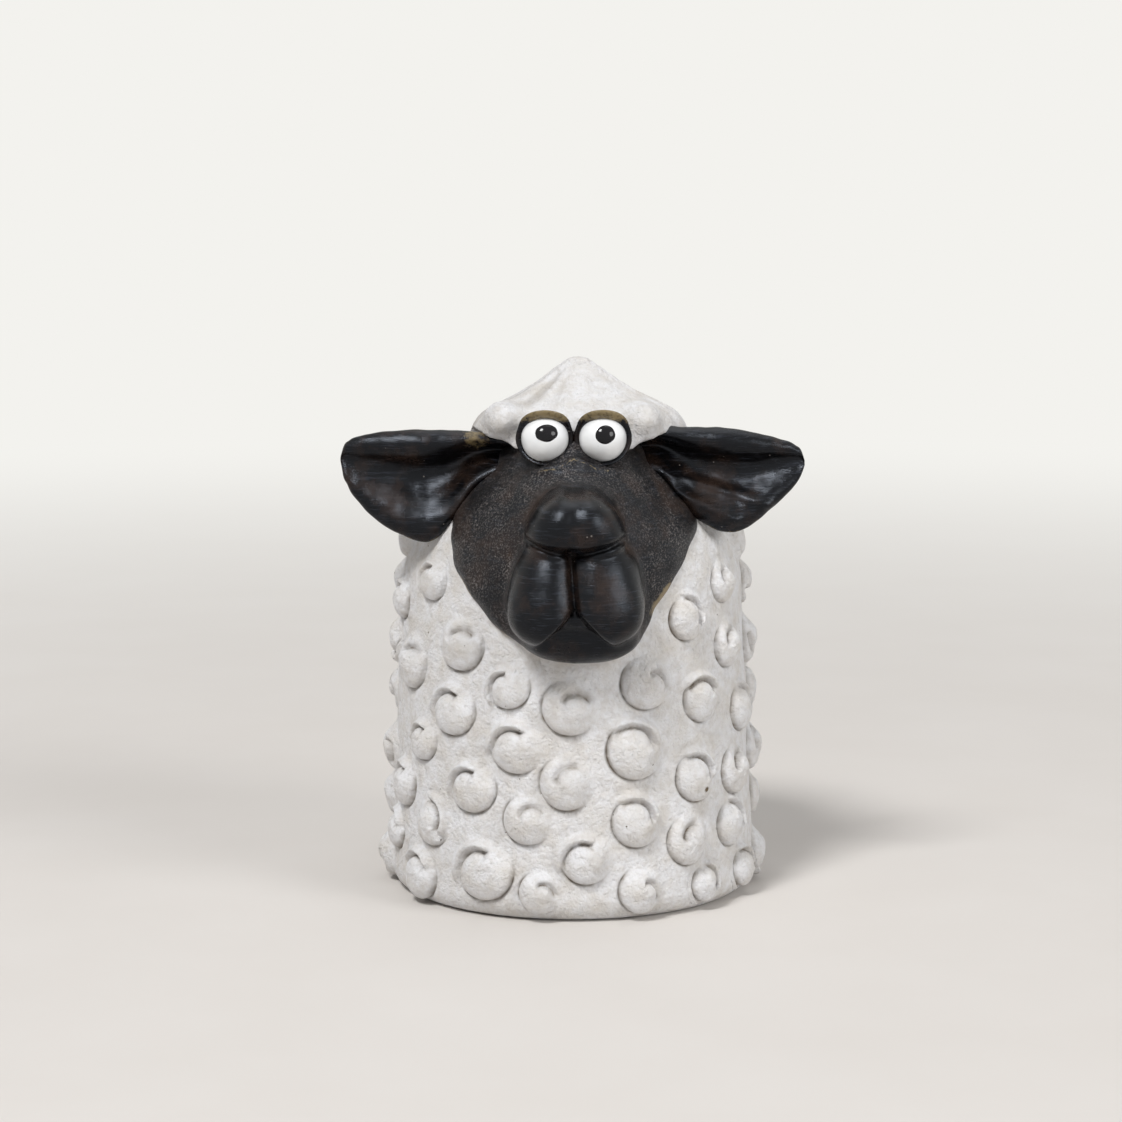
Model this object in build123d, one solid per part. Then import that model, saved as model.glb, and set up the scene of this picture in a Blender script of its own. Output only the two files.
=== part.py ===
from build123d import *
import os
from math import asin, atan2, cos, degrees, radians, sin, sqrt, tan

# A sheep ornament built by hand from clay. The bell-shaped body stands on the table, z is up,
# the face looks along -y, and the origin is the middle of the underside.
# Left and right are as seen from the front.

# Body: a hollow bell, a side that tapers a little under a dome that is tangent to it
FOOT_RADIUS = 34.6
SHOULDER_RADIUS = 31.8
SHOULDER_HEIGHT = 57.0
FOOT_ROUND = 3.8
WALL = 5.0

# Base slab let into the foot, with the vent that a closed hollow needs in the kiln
SLAB_THICKNESS = 5.0
SLAB_LEDGE = 0.8
VENT_RADIUS = 3.0
VENT_PLACE_SHARE = 0.45

# Head: a shield-shaped lump of black clay on the front of the body. It rises above the top of the dome,
# and its base plane is sunk in behind the shoulder. Each section is a height as a share of the head's
# height, then shares of its half width and of its depth in front of the base plane, at the middle
# and at the two sides
HEAD_HEIGHT = 42.0
HEAD_HALF_WIDTH = 23.0
HEAD_DEPTH = 18.0
HEAD_RISE = 0.7
HEAD_SINK = 11.8
HEAD_SECTION_SHARES = (
    (0.00, 0.22, 0.74, 0.62),
    (0.10, 0.54, 0.87, 0.50),
    (0.25, 0.78, 0.95, 0.30),
    (0.42, 0.96, 1.00, 0.08),
    (0.57, 0.99, 0.97, -0.10),
    (0.70, 0.89, 0.84, -0.28),
    (0.88, 0.60, 0.52, -0.55),
    (1.00, 0.34, 0.22, -0.60),
)

# Muzzle: the nose above, two lips side by side under it, and the chin. A place is a share of the head's
# half width and a share of its height
NOSE_HALF_WIDTH = 8.2
NOSE_HALF_DEPTH = 8.8
NOSE_HALF_HEIGHT = 6.8
NOSE_PLACE_SHARES = (0.0, 0.70)
LIP_HALF_WIDTH = 7.0
LIP_HALF_DEPTH = 9.0
LIP_HALF_HEIGHT = 10.0
LIP_LEAN = 12.0
LIP_SLIT = 0.6
LIP_PLACE_SHARES = (0.27, 0.36)
CHIN_HALF_WIDTH = 9.0
CHIN_HALF_DEPTH = 6.0
CHIN_HALF_HEIGHT = 4.6
CHIN_PLACE_SHARES = (0.0, 0.12)

# Eyes: balls in sockets, each with a dark lid behind it and a raised pupil
EYE_RADIUS = 4.4
EYE_SPACING = 10.4
EYE_HEIGHT_SHARE = 0.98
EYE_FORWARD_SHARE = 0.28
LID_THICKNESS = 0.9
LID_EDGE = 0.5
PUPIL_RADIUS = 1.9
PUPIL_HEIGHT = 0.4
PUPIL_LIFT = 18.0

# Ears: leaves cut from a gutter-shaped sheet of clay, hollow side to the front, the top edge rolled over
# into a thick hem and the tips swept forwards. An edge of the sheet, or the middle line of the hem, is given
# as shares of the ear's length and of its height
EAR_LENGTH = 30.0
EAR_HEIGHT = 20.5
EAR_THICKNESS = 3.0
EAR_CUP_RADIUS = 15.0
EAR_HEM_RADIUS = 2.4
EAR_HEM_FORWARD = 3.0
EAR_SWEEP = 5.0
EAR_ROOT_SHARE = 0.5
EAR_TOP_SHARE = 0.98
EAR_BACK_SHARE = -0.57
EAR_HOLLOW_SHARE = 0.6
EAR_HEM_SHARES = ((0.0, 0.85), (0.5, 0.88), (0.92, 0.72))
EAR_TOP_EDGE_SHARES = ((0.0, 0.82), (0.5, 0.85), (0.89, 0.68))
EAR_OUTER_EDGE_SHARES = ((0.89, 0.68), (0.89, 0.34), (0.5, 0.0))
EAR_LOWER_EDGE_SHARES = ((0.5, 0.0), (0.28, 0.08), (0.1, 0.38))

# Topknot: a low peaked cap on top of the dome, with a rounded tip and a rounded brim, wider than it is deep,
# and a flap of it brought down beside each eye
TOPKNOT_RISE = 12.2
TOPKNOT_HALF_WIDTH = 20.0
TOPKNOT_HALF_DEPTH = 15.5
TOPKNOT_TIP_ROUND = 7.0
TOPKNOT_BRIM_ROUND = 2.2
TOPKNOT_SLOPE = 34.0
TOPKNOT_FORWARD_SHARE = 0.21
FLAP_HALF_WIDTH = 3.6
FLAP_HALF_DEPTH = 5.8
FLAP_HALF_HEIGHT = 4.2
FLAP_DROP = 12.0
FLAP_ACROSS_SHARE = 0.61
FLAP_FORWARD_SHARE = 0.53

# Curls: a ball of clay with the roll that it ends in wound round it, pressed onto the body. A whole curl's
# radius is a share of the shoulder's, so that a row still fits round the body, and the rest are shares of it
CURL_SHARE = 0.16
CURL_ROLL_SHARE = 0.265
CURL_GAP_SHARE = 0.06
CURL_DRAW_IN_SHARE = 0.176
CURL_LIFT_SHARE = 0.05
CURL_BALL_RISE_SHARE = 0.314
CURL_TAIL_ANGLE = 35
CURL_END_ANGLE = 330
CURL_PROUD_SHARE = 0.75

# Front curls, row by row from the foot up: degrees round from the front, height as a share of the shoulder
# height and from 1 on of the dome, size as a share of a whole curl, degrees to the tail of the roll,
# and which way the roll winds inwards
FRONT_CURL_SHARES = (
    ((-55, 0.10, 0.93, 160, -1), (-10, 0.10, 0.76, -10, 1), (21, 0.10, 0.84, -30, 1),
     (45, 0.09, 0.68, 90, -1), (67, 0.10, 0.74, 120, -1)),
    ((-74, 0.21, 0.75, 150, -1), (-28, 0.16, 1.12, 200, -1), (4, 0.21, 0.93, 200, -1),
     (38, 0.24, 0.90, 60, 1), (59, 0.26, 0.85, 100, -1)),
    ((-49, 0.28, 0.85, 100, -1), (-14, 0.33, 0.90, 30, 1), (20, 0.32, 0.93, 130, -1)),
    ((-67, 0.38, 0.90, 190, -1), (-33, 0.42, 0.95, 200, -1), (-2, 0.45, 0.97, 60, 1),
     (42, 0.44, 0.90, 120, -1), (63, 0.43, 0.92, 60, 1)),
    ((-55, 0.54, 0.75, 190, -1), (-18, 0.56, 0.97, 190, -1), (20, 0.55, 1.08, 140, -1)),
    ((-41, 0.66, 0.95, 190, -1), (-1, 0.69, 1.00, 20, 1), (46, 0.69, 0.90, 150, -1),
     (70, 0.62, 0.85, 100, -1)),
    ((-65, 0.78, 1.00, 30, 1), (-39, 0.87, 0.97, 30, 1), (-21, 0.75, 0.80, 225, -1),
     (24, 0.76, 0.97, -20, 1), (61, 0.84, 0.82, 60, 1)),
    ((-78, 0.97, 0.78, 200, -1), (-54, 1.11, 0.75, 210, -1), (40, 0.95, 0.80, 100, -1),
     (60, 1.08, 0.72, 60, 1)),
)
# Curls round the back, evenly staggered: the first and last place in degrees, the step,
# and the height of each row as a share of the shoulder height, and from 1 on of the dome
BACK_FIRST = 88
BACK_LAST = 272
BACK_STEP = 23
BACK_SIZE_SHARE = 0.95
BACK_HEIGHT_SHARES = (0.10, 0.28, 0.46, 0.64, 0.82, 1.00, 1.32, 1.62)

# All cuts run past the clay that they go through by this much
OVERRUN = 4.0

# What follows from the sizes above
TAPER = degrees(atan2(FOOT_RADIUS - SHOULDER_RADIUS, SHOULDER_HEIGHT))
DOME_RADIUS = SHOULDER_RADIUS / cos(radians(TAPER))
DOME_MIDDLE = SHOULDER_HEIGHT - SHOULDER_RADIUS * tan(radians(TAPER))
SLAB_RADIUS = FOOT_RADIUS - WALL / cos(radians(TAPER)) + SLAB_LEDGE
BODY_TOP = DOME_MIDDLE + DOME_RADIUS
HEAD_PLANE = HEAD_SINK - SHOULDER_RADIUS
HEAD_BOTTOM = BODY_TOP + HEAD_RISE - HEAD_HEIGHT
TOPKNOT_TOP = BODY_TOP + TOPKNOT_RISE
CURL_RADIUS = CURL_SHARE * SHOULDER_RADIUS
CURL_ROLL_RADIUS = CURL_ROLL_SHARE * CURL_RADIUS
CURL_GAP = CURL_GAP_SHARE * CURL_RADIUS
CURL_DRAW_IN = CURL_DRAW_IN_SHARE * CURL_RADIUS
CURL_LIFT = CURL_LIFT_SHARE * CURL_RADIUS
CURL_BALL_RISE = CURL_BALL_RISE_SHARE * CURL_RADIUS


def bell(inset):
    """The body's bell shape, drawn in all round by inset."""
    foot = FOOT_RADIUS - inset / cos(radians(TAPER))
    dome = DOME_RADIUS - inset
    shoulder = (dome * cos(radians(TAPER)), DOME_MIDDLE + dome * sin(radians(TAPER)))
    outline = Curve() + [
        Line((0, 0), (foot, 0)),
        Line((foot, 0), shoulder),
        CenterArc((0, DOME_MIDDLE), dome, TAPER, 90 - TAPER),
        Line((0, DOME_MIDDLE + dome), (0, 0)),
    ]
    return revolve(Plane.XZ * make_face(outline), Axis.Z)


def make_body():
    """The whole bell, and the shell that is left once the hollow and the seat of the slab are cut."""
    whole = bell(0)
    whole = fillet(whole.edges().group_by(Axis.Z)[0], FOOT_ROUND)
    seat_of_slab = Cylinder(SLAB_RADIUS, SLAB_THICKNESS, align=(Align.CENTER, Align.CENTER, Align.MIN))
    return whole, whole - bell(WALL) - seat_of_slab


def make_base_slab():
    slab = Cylinder(SLAB_RADIUS, SLAB_THICKNESS, align=(Align.CENTER, Align.CENTER, Align.MIN))
    vent = Cylinder(VENT_RADIUS, SLAB_THICKNESS + OVERRUN, align=(Align.CENTER, Align.CENTER, Align.MIN))
    return slab - Pos(0, VENT_PLACE_SHARE * SLAB_RADIUS, 0) * vent


def make_head():
    """The head before it is pressed onto the body: a loft up through bow-shaped sections."""
    sections = []
    for height_share, width_share, middle_share, side_share in HEAD_SECTION_SHARES:
        across = width_share * HEAD_HALF_WIDTH
        middle = HEAD_PLANE - middle_share * HEAD_DEPTH
        side = HEAD_PLANE - side_share * HEAD_DEPTH
        bow = ThreePointArc((-across, side), (0, middle), (across, side))
        section = make_face(Curve() + [bow, Line((across, side), (-across, side))])
        sections.append(Pos(0, 0, HEAD_BOTTOM + height_share * HEAD_HEIGHT) * section)
    return loft(sections)


def on_head(width_share, height_share):
    """The point on the front of the head at these shares of its half width and height."""
    for lower, upper in zip(HEAD_SECTION_SHARES, HEAD_SECTION_SHARES[1:]):
        if lower[0] <= height_share <= upper[0]:
            step = (height_share - lower[0]) / (upper[0] - lower[0])
            between = [below + step * (above - below) for below, above in zip(lower, upper)]
    half_width = between[1] * HEAD_HALF_WIDTH
    bulge = (between[2] - between[3]) * HEAD_DEPTH
    bow_radius = (half_width**2 + bulge**2) / (2 * bulge)
    across = width_share * HEAD_HALF_WIDTH
    back = bow_radius - sqrt(bow_radius**2 - across**2)
    front = HEAD_PLANE - between[2] * HEAD_DEPTH + back
    return Vector(across, front, HEAD_BOTTOM + height_share * HEAD_HEIGHT)


def egg(half_width, half_depth, half_height):
    """A lump of clay with three different half sizes."""
    return scale(Sphere(1), by=(half_width, half_depth, half_height))


def one_side(lump, side, gap):
    """The part of a lump on one side of the middle plane, gap away from it."""
    return split(lump, Plane.YZ.offset(side * gap), keep=Keep.TOP if side > 0 else Keep.BOTTOM)


def make_muzzle(head, body):
    """The nose, the two lips and the chin, each cut by the larger lumps that it is pressed against."""
    nose = Pos(on_head(*NOSE_PLACE_SHARES)) * egg(NOSE_HALF_WIDTH, NOSE_HALF_DEPTH, NOSE_HALF_HEIGHT) - head
    lips = {}
    for side, name in ((-1, "lip_left"), (1, "lip_right")):
        width_share, height_share = LIP_PLACE_SHARES
        place = Pos(on_head(side * width_share, height_share)) * Rot(0, -side * LIP_LEAN, 0)
        lump = one_side(place * egg(LIP_HALF_WIDTH, LIP_HALF_DEPTH, LIP_HALF_HEIGHT), side, LIP_SLIT / 2)
        lips[name] = lump - head - nose
    chin = Pos(on_head(*CHIN_PLACE_SHARES)) * egg(CHIN_HALF_WIDTH, CHIN_HALF_DEPTH, CHIN_HALF_HEIGHT)
    chin = chin - head - body
    for lip in lips.values():
        chin = chin - lip
    return {"nose": nose, **lips, "chin": chin}


def make_eye(side, head):
    """An eyeball, the pupil raised on its front, and the lid whose edge meets the ball at its widest."""
    middle = Vector(
        side * EYE_SPACING / 2,
        HEAD_PLANE - EYE_FORWARD_SHARE * HEAD_DEPTH,
        HEAD_BOTTOM + EYE_HEIGHT_SHARE * HEAD_HEIGHT,
    )
    ball = Pos(middle) * Sphere(EYE_RADIUS)
    gaze = Pos(middle) * Rot(90 - PUPIL_LIFT, 0, 0) * extrude(Circle(PUPIL_RADIUS), EYE_RADIUS + OVERRUN)
    pupil = (Pos(middle) * Sphere(EYE_RADIUS + PUPIL_HEIGHT) & gaze) - ball
    lid_radius = EYE_RADIUS + LID_THICKNESS
    set_back = sqrt(LID_EDGE**2 + lid_radius**2 - EYE_RADIUS**2) - LID_EDGE
    lid = one_side(Pos(middle + Vector(0, set_back, 0)) * Sphere(lid_radius), side, 0)
    return ball, pupil, lid - ball - head


def make_ear(side, *carriers):
    """A leaf cut from a gutter of clay that lies along x, its hollow to the front, with its hem."""
    root = EAR_ROOT_SHARE * HEAD_HALF_WIDTH
    bottom = HEAD_BOTTOM + EAR_TOP_SHARE * HEAD_HEIGHT - EAR_HEIGHT
    back = HEAD_PLANE - EAR_BACK_SHARE * HEAD_DEPTH

    def places(shares):
        return [(side * (root + along * EAR_LENGTH), bottom + up * EAR_HEIGHT) for along, up in shares]

    top = places(EAR_TOP_EDGE_SHARES)
    outer = places(EAR_OUTER_EDGE_SHARES)
    lower = places(EAR_LOWER_EDGE_SHARES)
    edges = [ThreePointArc(*top), ThreePointArc(*outer), ThreePointArc(*lower), Line(lower[-1], top[0])]
    reach = EAR_CUP_RADIUS + EAR_THICKNESS
    leaf = Pos(0, back, 0) * extrude(Plane.XZ * make_face(Curve() + edges), reach)
    length = 2 * (root + EAR_LENGTH + OVERRUN)
    gutter = Cylinder(reach, length) - Cylinder(EAR_CUP_RADIUS, length)
    hollow = bottom + EAR_HOLLOW_SHARE * EAR_HEIGHT
    ear = leaf & Pos(0, back - reach, hollow) * Rot(0, 90, 0) * gutter
    hem_line = Pos(0, back - EAR_HEM_FORWARD, 0) * (Plane.XZ * ThreePointArc(*places(EAR_HEM_SHARES)))
    hem = sweep(Plane(origin=hem_line @ 0, z_dir=hem_line % 0) * Circle(EAR_HEM_RADIUS), path=hem_line)
    ear = ear + hem + Pos(hem_line @ 1) * Sphere(EAR_HEM_RADIUS)
    pivot = Pos(side * root, back, 0)
    ear = pivot * Rot(0, 0, -side * EAR_SWEEP) * pivot.inverse() * ear
    for carrier in carriers:
        ear = ear - carrier
    return ear


def make_topknot(*carriers):
    """A peaked cap, turned, flattened from front to back, with its flaps, fitted over what lies under it."""
    slope = radians(TOPKNOT_SLOPE)
    tip_middle = TOPKNOT_TOP - TOPKNOT_TIP_ROUND
    tip_end = (TOPKNOT_TIP_ROUND * sin(slope), tip_middle + TOPKNOT_TIP_ROUND * cos(slope))
    brim_middle = TOPKNOT_HALF_WIDTH - TOPKNOT_BRIM_ROUND
    brim_across = brim_middle + TOPKNOT_BRIM_ROUND * sin(slope)
    brim_top = tip_end[1] - (brim_across - tip_end[0]) * tan(slope)
    brim_height = brim_top - TOPKNOT_BRIM_ROUND * cos(slope)
    underside = brim_height - TOPKNOT_BRIM_ROUND
    outline = Curve() + [
        CenterArc((0, tip_middle), TOPKNOT_TIP_ROUND, 90 - TOPKNOT_SLOPE, TOPKNOT_SLOPE),
        Line(tip_end, (brim_across, brim_top)),
        CenterArc((brim_middle, brim_height), TOPKNOT_BRIM_ROUND, -90, 180 - TOPKNOT_SLOPE),
        Line((brim_middle, underside), (0, underside)),
        Line((0, underside), (0, TOPKNOT_TOP)),
    ]
    cap = revolve(Plane.XZ * make_face(outline), Axis.Z)
    cap = scale(cap, by=(1, TOPKNOT_HALF_DEPTH / TOPKNOT_HALF_WIDTH, 1))
    cap = Pos(0, -TOPKNOT_FORWARD_SHARE * SHOULDER_RADIUS, 0) * cap
    flap = egg(FLAP_HALF_WIDTH, FLAP_HALF_DEPTH, FLAP_HALF_HEIGHT)
    for side in (-1, 1):
        across = side * FLAP_ACROSS_SHARE * TOPKNOT_HALF_WIDTH
        cap = cap + Pos(across, -FLAP_FORWARD_SHARE * SHOULDER_RADIUS, TOPKNOT_TOP - FLAP_DROP) * flap
    for carrier in carriers:
        cap = cap - carrier
    return cap


def make_curl():
    """One curl lying flat: the ball, and the roll that runs inwards round it, both ends round."""
    ring = CURL_RADIUS - CURL_ROLL_RADIUS
    inner_ring = ring - CURL_DRAW_IN
    tail = (ring * cos(radians(CURL_TAIL_ANGLE)), ring * sin(radians(CURL_TAIL_ANGLE)))
    end = (
        inner_ring * cos(radians(CURL_END_ANGLE)) - CURL_DRAW_IN,
        inner_ring * sin(radians(CURL_END_ANGLE)),
    )
    section = Plane.XZ * Pos(-ring, 0, 0) * Circle(CURL_ROLL_RADIUS)
    outer_turn = revolve(section, Axis.Z, -(180 - CURL_TAIL_ANGLE))
    inner_turn = revolve(section, Axis((-CURL_DRAW_IN, 0, 0), (0, 0, 1)), CURL_END_ANGLE - 180)
    round_end = Sphere(CURL_ROLL_RADIUS)
    roll = outer_turn + inner_turn + Pos(*tail) * round_end + Pos(*end) * round_end
    ball_foot = ring - CURL_ROLL_RADIUS - CURL_GAP
    ball_radius = (ball_foot**2 + CURL_BALL_RISE**2) / (2 * CURL_BALL_RISE)
    return Pos(0, 0, CURL_LIFT) * roll + Pos(0, 0, CURL_BALL_RISE - ball_radius) * Sphere(ball_radius)


def curl_seat(turn, height_share):
    """The plane on the body at a turn in degrees from the front and at a height share."""
    around = radians(turn)
    up_dome = max(0, height_share - 1) * (BODY_TOP - SHOULDER_HEIGHT)
    height = min(1, height_share) * SHOULDER_HEIGHT + up_dome
    if height < SHOULDER_HEIGHT:
        lean = radians(TAPER)
        out = FOOT_RADIUS - height * tan(lean)
    else:
        lean = asin((height - DOME_MIDDLE) / DOME_RADIUS)
        out = DOME_RADIUS * cos(lean)
    normal = (cos(lean) * sin(around), -cos(lean) * cos(around), sin(lean))
    surface = (out * sin(around), -out * cos(around), height)
    return Plane(origin=surface, x_dir=(cos(around), sin(around), 0), z_dir=normal)


def row_places(row):
    """Every curl of one row: those seen at the front, then the staggered ones round the back."""
    places = list(FRONT_CURL_SHARES[row])
    stagger = BACK_STEP // 2 if row % 2 else 0
    for count, turn in enumerate(range(BACK_FIRST + stagger, BACK_LAST + 1, BACK_STEP)):
        winding = 1 if (count + row) % 3 else -1
        places.append((turn, BACK_HEIGHT_SHARES[row], BACK_SIZE_SHARE, 70 * count + 40 * row, winding))
    return places


def press_curl(curl, seat, tail, body):
    """The part of a curl that stands proud. A cut that takes nothing is made a degree further round."""
    for nudge in range(9):
        proud = seat * Rot(0, 0, tail + nudge) * curl - body
        if proud.volume < CURL_PROUD_SHARE * curl.volume:
            break
    return proud


def make_row(row, curls, body, head):
    """A row of curls, each pressed flat against the body and against the head where it meets that."""
    rolls = []
    for turn, height_share, size_share, tail, winding in row_places(row):
        curl = scale(curls[winding], by=size_share)
        seat = curl_seat(turn, height_share).location
        rolls.extend((press_curl(curl, seat, tail, body) - head).solids())
    return Compound(children=rolls)


body, body_shell = make_body()
head_lump = make_head()
head = head_lump - body
parts = {"body_shell": body_shell, "base_slab": make_base_slab()}
parts.update(make_muzzle(head_lump, body))

eyeballs = []
lids = []
for side, name in ((-1, "left"), (1, "right")):
    ball, pupil, lid = make_eye(side, head_lump)
    head = head - ball
    eyeballs.append(ball)
    lids.append(lid)
    parts["eyeball_" + name] = ball
    parts["pupil_" + name] = pupil
    parts["eyelid_" + name] = lid
parts["head"] = head

ears = []
for side, name in ((-1, "left"), (1, "right")):
    ear = make_ear(side, head_lump, body)
    ears.append(ear)
    parts["ear_" + name] = ear
parts["topknot"] = make_topknot(body, head_lump, *eyeballs, *lids, *ears)

curl = make_curl()
curls = {1: curl, -1: mirror(curl, about=Plane.XZ)}
for row in range(len(FRONT_CURL_SHARES)):
    parts["curls_row_" + str(row + 1)] = make_row(row, curls, body, head_lump)

os.makedirs("parts", exist_ok=True)
for name, shape in parts.items():
    export_step(shape, "parts/" + name + ".step")
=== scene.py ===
import bpy
import bmesh
import numpy as np
from math import asin, atan2, cos, exp, hypot, pi, radians, sin, sqrt, tan
from mathutils import Matrix, Vector, kdtree, noise


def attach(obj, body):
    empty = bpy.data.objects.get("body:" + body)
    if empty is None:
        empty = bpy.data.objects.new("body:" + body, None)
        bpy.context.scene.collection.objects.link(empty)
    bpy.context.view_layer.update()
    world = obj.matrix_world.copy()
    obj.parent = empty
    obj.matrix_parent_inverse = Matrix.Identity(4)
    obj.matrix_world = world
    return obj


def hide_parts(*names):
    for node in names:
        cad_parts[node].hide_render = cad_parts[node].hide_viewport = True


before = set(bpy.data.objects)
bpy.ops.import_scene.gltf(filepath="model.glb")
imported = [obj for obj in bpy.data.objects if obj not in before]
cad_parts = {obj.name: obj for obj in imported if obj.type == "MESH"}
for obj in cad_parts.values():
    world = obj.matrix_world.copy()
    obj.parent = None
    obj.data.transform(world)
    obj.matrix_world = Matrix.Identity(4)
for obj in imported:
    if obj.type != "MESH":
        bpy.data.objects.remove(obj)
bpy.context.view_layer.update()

# Body. A hollow bell thrown or pinched from white earthenware clay, its side drawn in a little under a dome.
# It was smoothed by hand, so it is slightly lumpy all over, and then painted a matt cream.
MM = 0.001
FOOT_RADIUS = 34.6 * MM
SHOULDER_RADIUS = 31.8 * MM
SHOULDER_HEIGHT = 57.0 * MM
FOOT_ROUND = 3.8 * MM
WALL = 5.0 * MM
SLAB_RADIUS = 30.4 * MM
SLAB_THICKNESS = 5.0 * MM
TAPER = atan2(FOOT_RADIUS - SHOULDER_RADIUS, SHOULDER_HEIGHT)
SIDE_LENGTH = hypot(FOOT_RADIUS - SHOULDER_RADIUS, SHOULDER_HEIGHT)
DOME_RADIUS = SHOULDER_RADIUS / cos(TAPER)
DOME_MIDDLE = SHOULDER_HEIGHT - SHOULDER_RADIUS * tan(TAPER)
BODY_TOP = DOME_MIDDLE + DOME_RADIUS
FOOT_MIDDLE = FOOT_RADIUS - FOOT_ROUND * (tan(TAPER) + 1 / cos(TAPER))
FOOT_TANGENT = FOOT_ROUND * tan((pi / 2 + TAPER) / 2)
BODY_ROUND_STEPS = 380
SIDE_CUTS = 104
DOME_STEPS = 84
INNER_STEPS = 16
FOOT_STEPS = 7
WELD = 0.01 * MM
SKIN_DEPTH = 1.2 * MM
FLAT_FOOT = 0.2 * MM
SETTLE_HEIGHT = 4 * MM
LUMPS = ((0.34 * MM, 14 * MM), (0.14 * MM, 5 * MM), (0.11 * MM, 2.1 * MM))
CURL_SEAT_DEPTH = 0.9 * MM


def on_bell(turn, along, lift):
    """The point on the body at a turn from the front and a length up its side, lifted off the surface."""
    if along < FOOT_TANGENT:
        lean = TAPER - (FOOT_TANGENT - along) / FOOT_ROUND
        out = FOOT_MIDDLE + FOOT_ROUND * cos(lean)
        up = FOOT_ROUND + FOOT_ROUND * sin(lean)
    elif along < SIDE_LENGTH:
        lean = TAPER
        out = FOOT_RADIUS - along * sin(TAPER)
        up = along * cos(TAPER)
    else:
        lean = TAPER + (along - SIDE_LENGTH) / DOME_RADIUS
        out = DOME_RADIUS * cos(lean)
        up = DOME_MIDDLE + DOME_RADIUS * sin(lean)
    out += lift * cos(lean)
    up += lift * sin(lean)
    return Vector((out * sin(turn), -out * cos(turn), up))


def off_bell(point):
    """How far a point lies outside the smooth body."""
    out = hypot(point.x, point.y)
    if point.z < SHOULDER_HEIGHT + (out - SHOULDER_RADIUS) * tan(TAPER):
        return (out - FOOT_RADIUS) * cos(TAPER) + point.z * sin(TAPER)
    return hypot(out, point.z - DOME_MIDDLE) - DOME_RADIUS


def bell_direction(point):
    """Straight out of the body at a point."""
    out = hypot(point.x, point.y)
    if point.z < SHOULDER_HEIGHT + (out - SHOULDER_RADIUS) * tan(TAPER):
        return Vector((point.x / out * cos(TAPER), point.y / out * cos(TAPER), sin(TAPER)))
    return Vector((point.x, point.y, point.z - DOME_MIDDLE)).normalized()


def hand_lumps(point):
    """How far hand-smoothed clay stands off its true shape: broad lumps, finger marks and fine ripples."""
    return sum(height * noise.noise(point / width) for height, width in LUMPS)


def ease(low, high, value):
    """From 0 to 1 as the value goes from low to high, with soft ends."""
    step = min(1.0, max(0.0, (value - low) / (high - low)))
    return step * step * (3 - 2 * step)


def linear(code):
    """An sRGB hex colour as the linear colour that a shader takes."""
    channels = [int(code[place:place + 2], 16) / 255 for place in (1, 3, 5)]
    return [c / 12.92 if c <= 0.04045 else ((c + 0.055) / 1.055) ** 2.4 for c in channels] + [1.0]


def add_node(material, kind, sockets=(), **settings):
    """Adds a node with its settings. A socket, by name or number, takes a value or another node's output."""
    made = material.node_tree.nodes.new("ShaderNode" + kind)
    for key, value in settings.items():
        setattr(made, key, value)
    for key, value in dict(sockets).items():
        if isinstance(value, bpy.types.NodeSocket):
            material.node_tree.links.new(value, made.inputs[key])
        else:
            made.inputs[key].default_value = value
    return made


def new_material(name):
    """An empty material, and the coordinates that its patterns lie on."""
    material = bpy.data.materials.new(name)
    material.use_nodes = True
    material.node_tree.nodes.clear()
    place = add_node(material, "TexCoord").outputs["Object"]
    return material, place


def show(material, shader):
    """Sends a shader to the material's output."""
    add_node(material, "OutputMaterial", {"Surface": shader.outputs[0]})


def verts_of(made):
    """The vertices among what a bmesh operator made."""
    return [part for part in made if isinstance(part, bmesh.types.BMVert)]


def rim_of(made):
    """The open edges among what a bmesh operator made."""
    return [part for part in made if isinstance(part, bmesh.types.BMEdge) and part.is_boundary]


def new_piece(bm, name, material):
    """Turns finished bmesh work into an object at the origin, with soft shading."""
    mesh = bpy.data.meshes.new(name)
    bm.to_mesh(mesh)
    bm.free()
    mesh.shade_smooth()
    mesh.materials.append(material)
    piece = bpy.data.objects.new(name, mesh)
    bpy.context.scene.collection.objects.link(piece)
    return piece


# Matt cream paint on white earthenware: chalky, near white where it lies thick and a warm grey where it is
# rubbed thin, with small dark pits where the clay was open, and a brown wash in the hollows that is partly
# painted shade: it darkens the curls' grooves, crack lines and crisp rims and the comb marks where shade
# falls, and the whole topknot a little as painted shade from above. Its sandy grain is drawn as coarse as
# the picture needs to show it.
fleece_paint, place = new_material("matt_cream_paint_on_earthenware")
mottle = add_node(fleece_paint, "TexNoise", {
    "Vector": place, "Scale": 1 / (5 * MM), "Detail": 5.0, "Roughness": 0.65})
thin = add_node(fleece_paint, "MapRange", {
    "Value": mottle.outputs["Fac"], "From Min": 0.40, "From Max": 0.68})
cream = add_node(fleece_paint, "Mix", {
    0: thin.outputs[0], 6: linear("#E6E6E8"), 7: linear("#D8D4CF")}, data_type="RGBA")
chalk = add_node(fleece_paint, "TexNoise", {
    "Vector": place, "Scale": 1 / (1.6 * MM), "Detail": 5.0, "Roughness": 0.65})
chalk_step = add_node(fleece_paint, "MapRange", {
    "Value": chalk.outputs["Fac"], "From Min": 0.47, "From Max": 0.70, "To Max": 0.55})
chalky = add_node(fleece_paint, "Mix", {
    0: chalk_step.outputs[0], 6: cream.outputs[2], 7: linear("#C8C3BE")}, data_type="RGBA")
pit_cells = add_node(fleece_paint, "TexVoronoi", {"Vector": place, "Scale": 1 / (2.4 * MM)})
pit_choice = add_node(fleece_paint, "SeparateColor", {0: pit_cells.outputs["Color"]})
pit_size = add_node(fleece_paint, "MapRange", {
    "Value": pit_choice.outputs[0], "From Min": 0.70, "To Max": 0.10})
pit_edge = add_node(fleece_paint, "Math", {
    0: pit_size.outputs[0], 1: pit_cells.outputs["Distance"]}, operation="SUBTRACT")
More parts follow.
